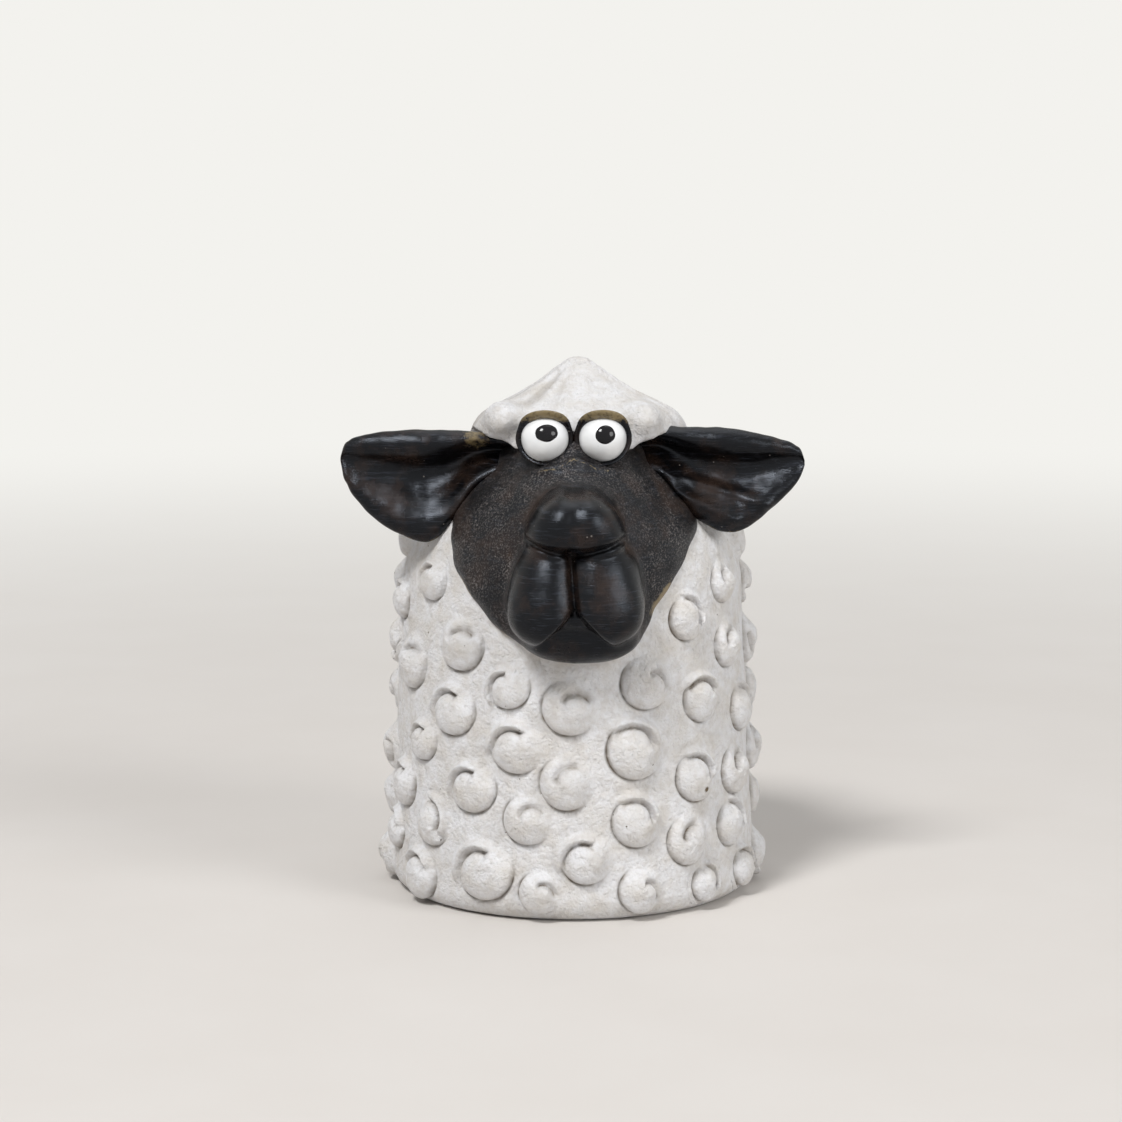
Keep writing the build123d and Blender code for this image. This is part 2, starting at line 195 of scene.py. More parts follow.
pit = add_node(fleece_paint, "MapRange", {"Value": pit_edge.outputs[0], "From Max": 0.04})
pitted = add_node(fleece_paint, "Mix", {
    0: pit.outputs[0], 6: chalky.outputs[2], 7: linear("#6E645A")}, data_type="RGBA")
# Painted shade: this attribute darkens the creases towards a brown grey, standing in for their shade as well
# as for a wash.
wash_and_painted_shade = add_node(fleece_paint, "Attribute", attribute_name="wash_and_painted_shade")
washed_and_shaded = add_node(fleece_paint, "Mix", {
    0: wash_and_painted_shade.outputs["Fac"], 6: pitted.outputs[2], 7: linear("#66563F")}, data_type="RGBA")
grain = add_node(fleece_paint, "TexNoise", {
    "Vector": place, "Scale": 1 / (0.45 * MM), "Detail": 4.0, "Roughness": 0.7})
sand_cells = add_node(fleece_paint, "TexVoronoi", {
    "Vector": place, "Scale": 1 / (0.62 * MM)}, feature="SMOOTH_F1")
sand_bump = add_node(fleece_paint, "Bump", {
    "Height": sand_cells.outputs["Distance"], "Strength": 0.8, "Distance": 0.22 * MM}, invert=True)
pimple_bump = add_node(fleece_paint, "Bump", {
    "Height": chalk.outputs["Fac"], "Strength": 0.8, "Distance": 0.7 * MM, "Normal": sand_bump.outputs[0]})
grain_bump = add_node(fleece_paint, "Bump", {
    "Height": grain.outputs["Fac"], "Strength": 0.9, "Distance": 0.32 * MM,
    "Normal": pimple_bump.outputs[0]})
pit_bump = add_node(fleece_paint, "Bump", {
    "Height": pit.outputs[0], "Strength": 0.6, "Distance": 0.25 * MM, "Normal": grain_bump.outputs[0]},
    invert=True)
dryness = add_node(fleece_paint, "MapRange", {
    "Value": chalk.outputs["Fac"], "To Min": 0.62, "To Max": 0.85})
show(fleece_paint, add_node(fleece_paint, "BsdfPrincipled", {
    "Base Color": washed_and_shaded.outputs[2], "Roughness": dryness.outputs[0], "Normal": pit_bump.outputs[0],
    "Specular IOR Level": 0.4}))

# The curls' places are needed before the body is shaped, because each one is pressed a little way into it.
# From the foot up: degrees round from the front, height as a share of the shoulder height and from 1 on of
# the dome, size as a share of a whole curl, degrees to the tail of the roll, and which way it winds inwards.
CURL_RADIUS = 0.16 * SHOULDER_RADIUS
CURL_REACH = 1.36
CURL_SEAT_EDGE = (0.80 * CURL_REACH, 0.97 * CURL_REACH)
CURL_SEARCH = 1.3 * CURL_REACH * CURL_RADIUS
NO_CURL = (9.0, -1)
FRONT_CURLS = (
    ((-55, 0.10, 0.93, 160, -1), (-10, 0.10, 0.76, -10, 1), (21, 0.10, 0.84, -30, 1),
     (45, 0.09, 0.68, 90, -1), (67, 0.10, 0.74, 120, -1)),
    ((-74, 0.21, 0.75, 150, -1), (-28, 0.16, 1.12, 200, -1), (4, 0.21, 0.93, 200, -1),
     (38, 0.24, 0.90, 60, 1), (59, 0.26, 0.85, 100, -1)),
    ((-49, 0.28, 0.85, 100, -1), (-14, 0.33, 0.90, 30, 1), (20, 0.32, 0.93, 130, -1)),
    ((-67, 0.38, 0.90, 190, -1), (-33, 0.42, 0.95, 200, -1), (-2, 0.45, 0.97, 60, 1),
     (42, 0.44, 0.90, 120, -1), (63, 0.43, 0.92, 60, 1)),
    ((-55, 0.54, 0.75, 190, -1), (-18, 0.56, 0.97, 190, -1), (20, 0.55, 1.08, 140, -1)),
    ((-41, 0.66, 0.95, 190, -1), (-1, 0.69, 1.00, 20, 1), (46, 0.69, 0.90, 150, -1),
     (70, 0.62, 0.85, 100, -1)),
    ((-65, 0.78, 1.00, 30, 1), (-39, 0.87, 0.97, 30, 1), (-21, 0.75, 0.80, 225, -1),
     (24, 0.76, 0.97, -20, 1), (61, 0.84, 0.82, 60, 1)),
    ((-78, 0.97, 0.78, 200, -1), (-54, 1.11, 0.75, 210, -1), (40, 0.95, 0.80, 100, -1),
     (60, 1.08, 0.72, 60, 1)),
)
BACK_FIRST, BACK_LAST, BACK_STEP = 88, 272, 23
BACK_SIZE = 0.95
BACK_HEIGHTS = (0.10, 0.28, 0.46, 0.64, 0.82, 1.00, 1.32, 1.62)
BACK_TAIL_ALONG, BACK_TAIL_UP = 70, 40
BACK_UNWOUND = 3


def curl_places(row):
    """Every curl of one row: those at the front, then the staggered ones round the back."""
    places = list(FRONT_CURLS[row])
    stagger = BACK_STEP // 2 if row % 2 else 0
    for count, turn in enumerate(range(BACK_FIRST + stagger, BACK_LAST + 1, BACK_STEP)):
        tail = BACK_TAIL_ALONG * count + BACK_TAIL_UP * row
        winding = 1 if (count + row) % BACK_UNWOUND else -1
        places.append((turn, BACK_HEIGHTS[row], BACK_SIZE, tail, winding))
    return places


def height_to_along(share):
    """The length up the body's side to a height share."""
    if share <= 1:
        return share * SIDE_LENGTH
    height = SHOULDER_HEIGHT + (share - 1) * (BODY_TOP - SHOULDER_HEIGHT)
    return SIDE_LENGTH + (asin((height - DOME_MIDDLE) / DOME_RADIUS) - TAPER) * DOME_RADIUS


curl_middles = []
for row in range(len(FRONT_CURLS)):
    for turn, share, size, tail, winding in curl_places(row):
        curl_middles.append((on_bell(radians(turn), height_to_along(share), 0), size * CURL_RADIUS))
curl_tree = kdtree.KDTree(len(curl_middles))
for index, (middle, radius) in enumerate(curl_middles):
    curl_tree.insert(middle, index)
curl_tree.balance()


def nearest_curl(point):
    """The curl that a point lies deepest in: how far out on it, as a share of its radius, and its number."""
    best = NO_CURL
    for middle, index, distance in curl_tree.find_range(point, CURL_SEARCH):
        best = min(best, (distance / curl_middles[index][1], index))
    return best


bm = bmesh.new()
inner_foot = FOOT_RADIUS - WALL / cos(TAPER)
inner_dome = DOME_RADIUS - WALL
seat_inner = inner_foot - SLAB_THICKNESS * tan(TAPER)
chain = [bm.verts.new((0, -r, z)) for r, z in (
    (inner_dome * cos(TAPER), DOME_MIDDLE + inner_dome * sin(TAPER)), (seat_inner, SLAB_THICKNESS),
    (SLAB_RADIUS, SLAB_THICKNESS), (SLAB_RADIUS, 0), (FOOT_MIDDLE, 0))]
for start, end in zip(chain, chain[1:]):
    bm.edges.new((start, end))
dome_turn = -(pi / 2 - TAPER)
bmesh.ops.spin(bm, geom=[chain[0]], cent=(0, 0, DOME_MIDDLE), axis=(1, 0, 0), angle=dome_turn,
               steps=INNER_STEPS)
foot = bmesh.ops.spin(bm, geom=[chain[-1]], cent=(0, -FOOT_MIDDLE, FOOT_ROUND), axis=(1, 0, 0),
                      angle=-(pi / 2 + TAPER), steps=FOOT_STEPS)["geom_last"]
side = bmesh.ops.extrude_vert_indiv(bm, verts=verts_of(foot))
side["verts"][0].co = (0, -SHOULDER_RADIUS, SHOULDER_HEIGHT)
bmesh.ops.spin(bm, geom=side["verts"], cent=(0, 0, DOME_MIDDLE), axis=(1, 0, 0), angle=dome_turn,
               steps=DOME_STEPS)
bmesh.ops.subdivide_edges(bm, edges=side["edges"], cuts=SIDE_CUTS)
bmesh.ops.spin(bm, geom=bm.verts[:] + bm.edges[:], cent=(0, 0, 0), axis=(0, 0, 1), angle=2 * pi,
               steps=BODY_ROUND_STEPS, use_merge=True)
bmesh.ops.remove_doubles(bm, verts=bm.verts[:], dist=WELD)
bmesh.ops.recalc_face_normals(bm, faces=bm.faces[:])
for vert in bm.verts:
    if off_bell(vert.co) > -SKIN_DEPTH and vert.co.z > FLAT_FOOT:
        settled = ease(0.0, SETTLE_HEIGHT, vert.co.z)
        share, index = nearest_curl(vert.co)
        seat = CURL_SEAT_DEPTH * (1 - ease(*CURL_SEAT_EDGE, share))
        vert.co += bell_direction(vert.co) * (hand_lumps(vert.co) * settled - seat)
body = new_piece(bm, "fleece_body", fleece_paint)
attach(body, "root")
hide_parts("body_shell")

# Base slab. A disc of the same clay let into the foot to close the hollow, with a vent for the kiln.
# It is bare underneath: unpainted biscuit, a little sandy and scuffed from standing.
biscuit, place = new_material("bare_earthenware_biscuit")
sand = add_node(biscuit, "TexNoise", {"Vector": place, "Scale": 1 / (0.7 * MM), "Detail": 4.0})
cloud = add_node(biscuit, "TexNoise", {"Vector": place, "Scale": 1 / (11 * MM), "Detail": 3.0})
tone = add_node(biscuit, "Mix", {
    0: cloud.outputs["Fac"], 6: linear("#DCD2C6"), 7: linear("#C6B8A8")}, data_type="RGBA")
sandy = add_node(biscuit, "MapRange", {
    "Value": sand.outputs["Fac"], "From Min": 0.5, "From Max": 0.8, "To Max": 0.5})
speckled = add_node(biscuit, "Mix", {
    0: sandy.outputs[0], 6: tone.outputs[2], 7: linear("#A89785")}, data_type="RGBA")
sand_bump = add_node(biscuit, "Bump", {
    "Height": sand.outputs["Fac"], "Strength": 0.4, "Distance": 0.2 * MM})
show(biscuit, add_node(biscuit, "BsdfPrincipled", {
    "Base Color": speckled.outputs[2], "Roughness": 0.88, "Normal": sand_bump.outputs[0]}))
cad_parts["base_slab"].data.materials.clear()
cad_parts["base_slab"].data.materials.append(biscuit)

# Curls. Each is a ball of the same clay rolled out into a tail that is wound round it, pressed onto the body
# while soft, so that one side stands crisp and the other is smeared into the body, and painted with it.
CURL_RISE = 2.4 * MM
CURL_ROOT = 1.3 * MM
CURL_FILM = 0.012 * MM
CURL_FADE = (1.18, 0.98 * CURL_REACH)
CURL_RINGS = 32
CURL_SEGMENTS = 104
# Where two curls overlap, the one further from its own middle sinks a little, and more as it goes under.
UNDER_LEAST, UNDER_MOST, UNDER_RUN = 0.03 * MM, 0.5 * MM, 0.25
# A groove starts and ends at two shares of the radius, and runs on for an angle in radians.
OPEN_GROOVE = (0.88, 0.40, 2.7)
INNER_GROOVE = (0.66, 0.27, 2.3)
GROOVE_CURVE = 0.8
GROOVE_TIP = (-0.25, 0.15)
GROOVE_CLOSES = 0.72
GROOVE_BANK, BANK_NARROWS, GROOVE_WALL = 0.30, 0.12, 0.06
GROOVE_DEPTH, DEPTH_LOST = 0.85, 0.2
TROUGH_PLACE, TROUGH_WIDTH = 0.04, 0.07
# Painted shade: a thin dark line along the side of the groove where it starts.
CRACK_SHADE_PLACE, CRACK_SHADE_WIDTH = 0.012, 0.045
TAIL_PLACE, TAIL_WIDTH = 0.25, 0.14
TAIL_RISE, TAIL_GAIN = 0.42, 0.5
BALL_POWER = 2.2
INNER_BULGE = 0.16
SMEAR = (0.25, 1.14)
RIM_PLACE, RIM_WIDTH, RIM_DEPTH = 1.02, 0.045, 0.14
# Where round it a curl's edge stands crisp, in degrees: for curls left of a turn, and for all the others.
CRISP_LEFT_OF, CRISP_LEFT, CRISP_OTHERS = -20, 290, 215
CRISP_TURN = (-0.35, 0.55)
# Painted shade: how dark the wash lies along the crisp rim and in the groove, how much of it is left, and
# the sizes of its patches.
RIM_SHADE_WASH, GROOVE_SHADE_WASH = 0.9, 0.5
SHADE_WASH_LEFT = 0.62
SHADE_WASH_PATCHES = ((0.55, 1.1 * MM), (0.45, 5 * MM))
CHIP = on_bell(radians(43), 0.40 * SIDE_LENGTH, 0)
CHIP_EDGE = (0.35 * MM, 0.6 * MM)

blank = bmesh.new()
bmesh.ops.create_circle(blank, cap_ends=True, cap_tris=True, segments=CURL_SEGMENTS,
                        radius=CURL_REACH / CURL_RINGS)
rim = [e for e in blank.edges if e.is_boundary]
for ring in range(2, CURL_RINGS + 1):
    grown = bmesh.ops.extrude_edge_only(blank, edges=rim)["geom"]
    for vert in verts_of(grown):
        vert.co *= ring / (ring - 1)
    rim = rim_of(grown)
skirt = bmesh.ops.extrude_edge_only(blank, edges=rim)["geom"]
bmesh.ops.translate(blank, verts=verts_of(skirt), vec=(0, 0, -1))
bmesh.ops.edgeloop_fill(blank, edges=rim_of(skirt))
bmesh.ops.recalc_face_normals(blank, faces=blank.faces[:])
for edge in rim:
    edge.smooth = False
curl_blank = bpy.data.meshes.new("curl_blank")
blank.to_mesh(curl_blank)
blank.free()


def curl_relief(share, travel, around, crisp_side, winding):
    """A curl's height, as a share of its rise, and the brown wash with painted shade laid in its groove,
    crack line and crisp rim, at a share of its radius and an angle travelled inwards from the tip of its
    tail. Wound one way the tail lies open outside the ball, wound the other way it is pressed flat and only
    its inner end shows."""
    pressed_flat = winding > 0
    start, end, run = INNER_GROOVE if pressed_flat else OPEN_GROOVE
    step = min(1.0, max(0.0, travel / run))
    line = start + (end - start) * step ** GROOVE_CURVE
    opened = ease(*GROOVE_TIP, travel) * (1 - ease(GROOVE_CLOSES * run, run, travel))
    crisp = ease(*CRISP_TURN, cos(around - crisp_side))
    apart = share - line
    scaled = share if pressed_flat else share / (1 + (line - 1) * opened)
    sharp = max(0.0, 1 - scaled ** BALL_POWER) ** 0.5
    smeared = 1 - ease(*SMEAR, scaled)
    height = smeared + (sharp - smeared) * (crisp if pressed_flat else max(crisp, opened))
    if pressed_flat:
        height += INNER_BULGE * (1 - ease(0.0, line, share))
        bank = GROOVE_BANK - BANK_NARROWS * step if apart > 0 else GROOVE_WALL
        groove = opened * exp(-(apart / bank) ** 2)
        height -= groove * (GROOVE_DEPTH - DEPTH_LOST * step) * height
    else:
        tail = opened * (TAIL_RISE + TAIL_GAIN * step) * exp(-((apart - TAIL_PLACE) / TAIL_WIDTH) ** 2)
        height = sqrt(height ** 2 + tail ** 2)
        groove = opened * exp(-((apart - TROUGH_PLACE) / TROUGH_WIDTH) ** 2)
    # Painted shade along the groove's start, the crisp rim and the groove itself.
    crack_shade = opened * exp(-((apart - CRACK_SHADE_PLACE) / CRACK_SHADE_WIDTH) ** 2)
    edge = crisp * exp(-((share - RIM_PLACE) / RIM_WIDTH) ** 2) * (1 if pressed_flat else 1 - opened)
    height -= RIM_DEPTH * edge
    return height, max(crack_shade, RIM_SHADE_WASH * edge, GROOVE_SHADE_WASH * groove)


for row in range(len(FRONT_CURLS)):
    bm = bmesh.new()
    shade_wash_layer = bm.verts.layers.float.new("wash_and_painted_shade")
    for turn, share, size, tail, winding in curl_places(row):
        along = height_to_along(share)
        radius = size * CURL_RADIUS
        middle = on_bell(radians(turn), along, 0)
        around_body = hypot(middle.x, middle.y)
        own = curl_tree.find(middle)[1]
        crisp_side = radians(CRISP_OTHERS if turn > CRISP_LEFT_OF else CRISP_LEFT)
        first = len(bm.verts)
        bm.from_mesh(curl_blank)
        bm.verts.ensure_lookup_table()
        for vert in bm.verts[first:]:
            x, y, depth = vert.co
            out = hypot(x, y)
            around = atan2(y, x)
            travel = (winding * (around - radians(tail)) + pi) % (2 * pi) - pi
            spot = (radians(turn) + x * radius / around_body, along + y * radius)
            flat = on_bell(*spot, 0)
            height, wash_and_painted_shade = curl_relief(out, travel, around, crisp_side, winding)
            height *= 1 - ease(*CURL_FADE, out)
            lumps = hand_lumps(flat) * ease(0.0, SETTLE_HEIGHT, flat.z)
            lift = height * CURL_RISE * sqrt(size) + lumps + CURL_FILM
            nearer, index = nearest_curl(flat)
            if index != own:
                lift -= UNDER_LEAST + UNDER_MOST * ease(0.0, UNDER_RUN, out - nearer)
            if depth < 0:
                lift = -CURL_ROOT
            vert.co = on_bell(*spot, lift)
            # The painted shade in the creases comes and goes in patches; at the chip the brown clay shows.
            patchy_shade_wash = SHADE_WASH_LEFT + sum(deep * noise.noise(flat / width) for deep, width in SHADE_WASH_PATCHES)
            chip = 1 - ease(*CHIP_EDGE, (flat - CHIP).length)
            vert[shade_wash_layer] = max(chip, min(1.0, wash_and_painted_shade * patchy_shade_wash))
    piece = new_piece(bm, "curls_%d" % (row + 1), fleece_paint)
    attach(piece, "root")
    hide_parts("curls_row_%d" % (row + 1))

# Head. One lump of clay pressed onto the front of the body as a shield, with the nose, the two lips and the
# chin worked up on it, then painted black and rubbed so that brown shows through in patches. Its sizes, and
# those of the pieces after it, are in millimetres.
MASK_MIDDLE = (0.0, -26.0, 66.0)
MASK_OUTLINE = (
    (47.6, -6, -6), (48.4, 1, 3.6), (49.0, 4.6, 7.0), (50.0, 8.2, 9.8), (52.0, 12.2, 12.4),
    (54.4, 15.2, 14.2), (57.3, 17.6, 15.8), (62.0, 20.6, 19.0), (66.0, 22.3, 21.6), (70.0, 22.6, 22.7),
    (74.0, 21.6, 22.0), (78.0, 19.0, 19.3), (82.0, 15.6, 15.8), (86.0, 11.0, 11.0), (88.0, 6.5, 6.5),
    (90.0, -4, -4))
MASK_UNEVEN = 0.2
LEFT_WAVES = ((1.0, 0.53, 0), (0.5, 1.3, 1))
RIGHT_WAVES = ((1.0, 0.61, 2), (0.5, 1.2, 0))
MASK_SWEEP = 2.1
MASK_BOW = (
    (46, -33.0, -31.5), (50, -35.6, -31.5), (54, -36.6, -30.0), (58, -37.4, -28.0), (62, -37.9, -25.0),
    (66, -37.8, -21.6), (70, -37.4, -18.2), (74, -35.8, -14.7), (78, -33.4, -12.5), (82, -30.4, -9.5),
    (86, -26.0, -8.5), (90, -22.0, -8.0))
BROW_LINE = ((-7.4, 80.9), (-5.0, 81.6), (-2.4, 82.2), (0.4, 83.5), (2.4, 82.6), (4.8, 81.7), (7.4, 81.2))


def egg(points, middle, halves, full=2.0):
    """Distance from points to an egg of clay, less than zero inside it. It is boxier the fuller it is."""
    away = points - np.array(middle)
    whole = np.sum((np.abs(away) / np.array(halves)) ** full, axis=1) ** (1 / full) + 1e-6
    return np.linalg.norm(away, axis=1) * (1 - 1 / whole)


def roll(points, path, radius):
    """Distance from points to a roll of clay laid along a path."""
    nearest = np.full(len(points), 1e9)
    for start, end in zip(path, path[1:]):
        start, run = np.array(start), np.array(end) - np.array(start)
        along = np.clip((points - start) @ run / (run @ run), 0, 1)
        nearest = np.minimum(nearest, np.linalg.norm(points - start - along[:, None] * run, axis=1))
    return nearest - radius


def pressed(one, other, soft):
    """Two lumps pressed together, the crease between them softened over a width."""
    mix = np.clip(0.5 + 0.5 * (other - one) / soft, 0, 1)
    return other + (one - other) * mix - soft * mix * (1 - mix)


def cut(one, other, soft):
    """What two shapes have in common, the edge between them rounded over a width."""
    return -pressed(-one, -other, soft)


def along_curve(value, table, column):
    """A smooth curve through the rows of a table, read at values of its first column."""
    rows = np.array(table, float)
    knots, levels = rows[:, 0], rows[:, column]
    slopes = np.gradient(levels, knots)
    place = np.clip(np.searchsorted(knots, value) - 1, 0, len(knots) - 2)
    run = knots[place + 1] - knots[place]
    step = np.clip((value - knots[place]) / run, 0, 1)
    start = levels[place] * (1 + 2 * step) * (1 - step) ** 2 + slopes[place] * run * step * (1 - step) ** 2
    end = levels[place + 1] * step ** 2 * (3 - 2 * step) - slopes[place + 1] * run * step ** 2 * (1 - step)
    return start + end


def mask_half(x, z):
    """The half width of the shield at a height, on the left or the right, a little uneven as cut by hand."""
    left, right = (sum(size * np.sin(pace * z + start) for size, pace, start in waves)
                   for waves in (LEFT_WAVES, RIGHT_WAVES))
    half = np.where(x < 0, along_curve(z, MASK_OUTLINE, 1), along_curve(z, MASK_OUTLINE, 2))
    return MASK_UNEVEN * np.where(x < 0, left, right) + half


def mask_front(x, z):
    """How far forward the face of the shield lies."""
    front, side = along_curve(z, MASK_BOW, 1), along_curve(z, MASK_BOW, 2)
    return front + (side - front) * (np.abs(x) / np.maximum(mask_half(x, z), 1)) ** MASK_SWEEP


EYES = {"left": (-5.1, -25.0, 86.8), "right": (5.25, -25.0, 86.8)}
EYE_RADIUS = 4.2
FACE_SLOPE, EDGE_SLOPE, EDGE_ROUND = 0.75, 0.85, 2.4
SHIELD_BACK, BACK_ROUND = -9.0, 2.0
LEDGE_DEPTH, LEDGE_SOFT, LEDGE_HALF, LEDGE_ENDS = 1.2, 0.9, 9.5, 2
BROW_SUNK, BROW_RADIUS, BROW_JOIN = 0.3, 0.55, 0.7
# The lumps on the shield: middle, half sizes and how full they are.
LIPS = ((0.4, -35.2, 62.1), (12.0, 9.8, 11.1), 2.7)
NOSE = ((0.3, -37.0, 72.7), (8.9, 8.5, 6.4), 2.3)
CHIN = ((1.4, -33.2, 52.6), (10.4, 6.6, 5.0), 2.3)
CHIN_JOIN, LIP_JOIN = 3.0, 1.4
LIP_TAPER, LIP_TAPER_AT = 0.016, 61
LIP_LEAN, LIP_LEAN_AT = 0.30, 60
LIP_FRONT, FRONT_SOFT = -37.0, 2.5
SLIT_LINE = ((-0.5, 68.2), (-0.2, 63.0), (0.2, 58.6))
SLIT_CUTS = ((1.5, 2.6), (1.5, 0.62))
FORK_DEPTH, FORK_SPREAD, FORK_SOFT = 3.4, 1.1, 1.3
NOSE_TAPER, NOSE_TAPER_AT, NOSE_TAPER_ENDS = 0.04, 72, (0.6, 1.2)
NOSE_DIP, NOSE_DIP_AT, NOSE_DIP_WIDTH = 0.7, 0.2, 2.0
# The nose is creased sharply against the lips, and upwards from a height more and more softly.
NOSE_CREASE, CREASE_GAIN, CREASE_AT, CREASE_RUN = 0.6, 5.0, 71.5, 6
MOUTH_LINE = (
    (-9.0, 70.5), (-6.6, 69.6), (-4.0, 68.8), (-1.4, 68.2), (0.4, 68.0), (2.4, 68.4), (5.2, 69.2),
    (8.6, 70.3))
MOUTH_FRONT, MOUTH_DEPTH, MOUTH_WIDTH = -36.0, 1.3, 0.6


def off_line(x, z, line):
    """Distance, seen from the front, from points to a line drawn with a tool."""
    flat = np.stack([x, z], axis=1)
    return roll(flat, line, 0.0)


def head_clay(points):
    """The head as one field in millimetres, less than zero inside the clay."""
    x, y, z = points.T
    ledge = np.clip((z - along_curve(x, BROW_LINE, 1)) / LEDGE_SOFT + 0.5, 0, 1)
    ledge = ledge * np.clip((LEDGE_HALF - np.abs(x)) / LEDGE_ENDS, 0, 1)
    face = FACE_SLOPE * (mask_front(x, z) + LEDGE_DEPTH * ledge - y)
    shield = cut(face, EDGE_SLOPE * (np.abs(x) - mask_half(x, z)), EDGE_ROUND)
    shield = cut(shield, y - SHIELD_BACK, BACK_ROUND)
    lips_x = LIPS[0][0]
    squared = points.copy()
    squared[:, 0] = lips_x + (x - lips_x) / (1 + LIP_TAPER * (LIP_TAPER_AT - z))
    squared[:, 1] = y - LIP_LEAN * (z - LIP_LEAN_AT)
    lips = egg(squared, *LIPS)
    slit = off_line(x, z, SLIT_LINE)
    valley = sum(depth * np.exp(-(slit / width) ** 2) for depth, width in SLIT_CUTS)
    fork_x, fork_z = SLIT_LINE[-1]
    fork = np.clip(((fork_z - z) - FORK_SPREAD * np.abs(x - fork_x)) / FORK_SOFT + 0.5, 0, 1)
    lips = lips + np.clip((LIP_FRONT - y) / FRONT_SOFT, 0, 1) * (valley + FORK_DEPTH * fork)
    nose_x = NOSE[0][0]
    drawn_in = points.copy()
    drawn_in[:, 0] = nose_x + (x - nose_x) / np.clip(1 - NOSE_TAPER * (z - NOSE_TAPER_AT), *NOSE_TAPER_ENDS)
    nose = egg(drawn_in, *NOSE) + NOSE_DIP * np.exp(-((x - NOSE_DIP_AT) / NOSE_DIP_WIDTH) ** 2)
    nose_join = NOSE_CREASE + CREASE_GAIN * np.clip((z - CREASE_AT) / CREASE_RUN, 0, 1)
    brow_path = [(x, float(mask_front(x, z)) - BROW_SUNK, z) for x, z in BROW_LINE]
    clay = pressed(pressed(shield, egg(points, *CHIN), CHIN_JOIN), lips, LIP_JOIN)
    clay = pressed(clay, nose, nose_join)
    mouth = np.exp(-(off_line(x, z, MOUTH_LINE) / MOUTH_WIDTH) ** 2)
    clay = clay + np.clip((MOUTH_FRONT - y) / FRONT_SOFT, 0, 1) * MOUTH_DEPTH * mouth
    return pressed(clay, roll(points, brow_path, BROW_RADIUS), BROW_JOIN)


BALL_DETAIL = 7
RAY_REACH = 40
RAY_STEPS = 60
RAY_HALVINGS = 14


def worked_lump(middle, field):
    """A ball whose vertices are drawn out from its middle to the outermost place where the field is zero."""
    bm = bmesh.new()
    bmesh.ops.create_icosphere(bm, subdivisions=BALL_DETAIL, radius=1)
    rays = np.array([v.co.normalized() for v in bm.verts])
    middle = np.array(middle)
    near = np.zeros(len(rays))
    for step in np.linspace(0, RAY_REACH, RAY_STEPS + 1):
        near = np.where(field(middle + rays * step) < 0, step, near)
    far = near + RAY_REACH / RAY_STEPS
    for halving in range(RAY_HALVINGS):
        half = (near + far) / 2
        inside = field(middle + rays * half[:, None]) < 0
        near, far = np.where(inside, half, near), np.where(inside, far, half)
    for vert, ray, out in zip(bm.verts, rays, near):
        vert.co = Vector((middle + ray * out) * MM)
    return bm


def roughen(bm, share):
    """Gives a piece a share of the lumps that the body has."""
    bm.normal_update()
    for vert in bm.verts:
        vert.co += vert.normal * share * hand_lumps(vert.co)


def soften(bm, times):
    """Evens out a surface, as a wet finger does."""
    for softening in range(times):
        bmesh.ops.smooth_vert(bm, verts=bm.verts[:], factor=0.5, use_axis_x=True, use_axis_y=True,
                              use_axis_z=True)


# Black paint on clay, waxed by handling: a soft satin gloss, brown rubbed through in patches, pale dust in
# specks, and the clay showing khaki where the paint has worn off the edges; a khaki line along the brow is a
# painted highlight of the ledge. The shield is dry and gritty. Brush streaks and grit are drawn as coarse as
# the picture needs to show them, and the streaks are painted a lighter bluish grey as painted glints of
# sheen, brown where the paint is rubbed.
black_paint, place = new_material("rubbed_black_paint_on_clay")
rub = add_node(black_paint, "TexNoise", {
    "Vector": place, "Scale": 1 / (6 * MM), "Detail": 5.0, "Roughness": 0.6})
rub_step = add_node(black_paint, "MapRange", {
    "Value": rub.outputs["Fac"], "From Min": 0.48, "From Max": 0.75})
black = add_node(black_paint, "Mix", {
    0: rub_step.outputs[0], 6: linear("#090809"), 7: linear("#2E221B")}, data_type="RGBA")
strokes = add_node(black_paint, "Mapping", {
    "Vector": place, "Scale": (1 / (4 * MM), 1 / (4 * MM), 1 / (0.36 * MM))})
skin = add_node(black_paint, "TexNoise", {
    "Vector": strokes.outputs[0], "Scale": 1.0, "Detail": 5.0, "Roughness": 0.65})
# Painted highlight: the brush streaks are painted a lighter bluish grey that stands in for glints of sheen
# on them, and brown where the paint is rubbed through.
streak_glint = add_node(black_paint, "MapRange", {
    "Value": skin.outputs["Fac"], "From Min": 0.54, "From Max": 0.72, "To Max": 0.34})
glint_and_rub_tone = add_node(black_paint, "Mix", {
    0: rub_step.outputs[0], 6: linear("#474B55"), 7: linear("#53402F")}, data_type="RGBA")
streaked_with_glints = add_node(black_paint, "Mix", {
    0: streak_glint.outputs[0], 6: black.outputs[2], 7: glint_and_rub_tone.outputs[2]}, data_type="RGBA")
dust_cells = add_node(black_paint, "TexVoronoi", {"Vector": place, "Scale": 1 / (1.5 * MM)})
dust_choice = add_node(black_paint, "SeparateColor", {0: dust_cells.outputs["Color"]})
dust_size = add_node(black_paint, "MapRange", {
    "Value": dust_choice.outputs[1], "From Min": 0.65, "To Max": 0.13})
dust_edge = add_node(black_paint, "Math", {
    0: dust_size.outputs[0], 1: dust_cells.outputs["Distance"]}, operation="SUBTRACT")
dust = add_node(black_paint, "MapRange", {"Value": dust_edge.outputs[0], "From Max": 0.05, "To Max": 0.6})
dusty = add_node(black_paint, "Mix", {
    0: dust.outputs[0], 6: streaked_with_glints.outputs[2], 7: linear("#8C8680")}, data_type="RGBA")
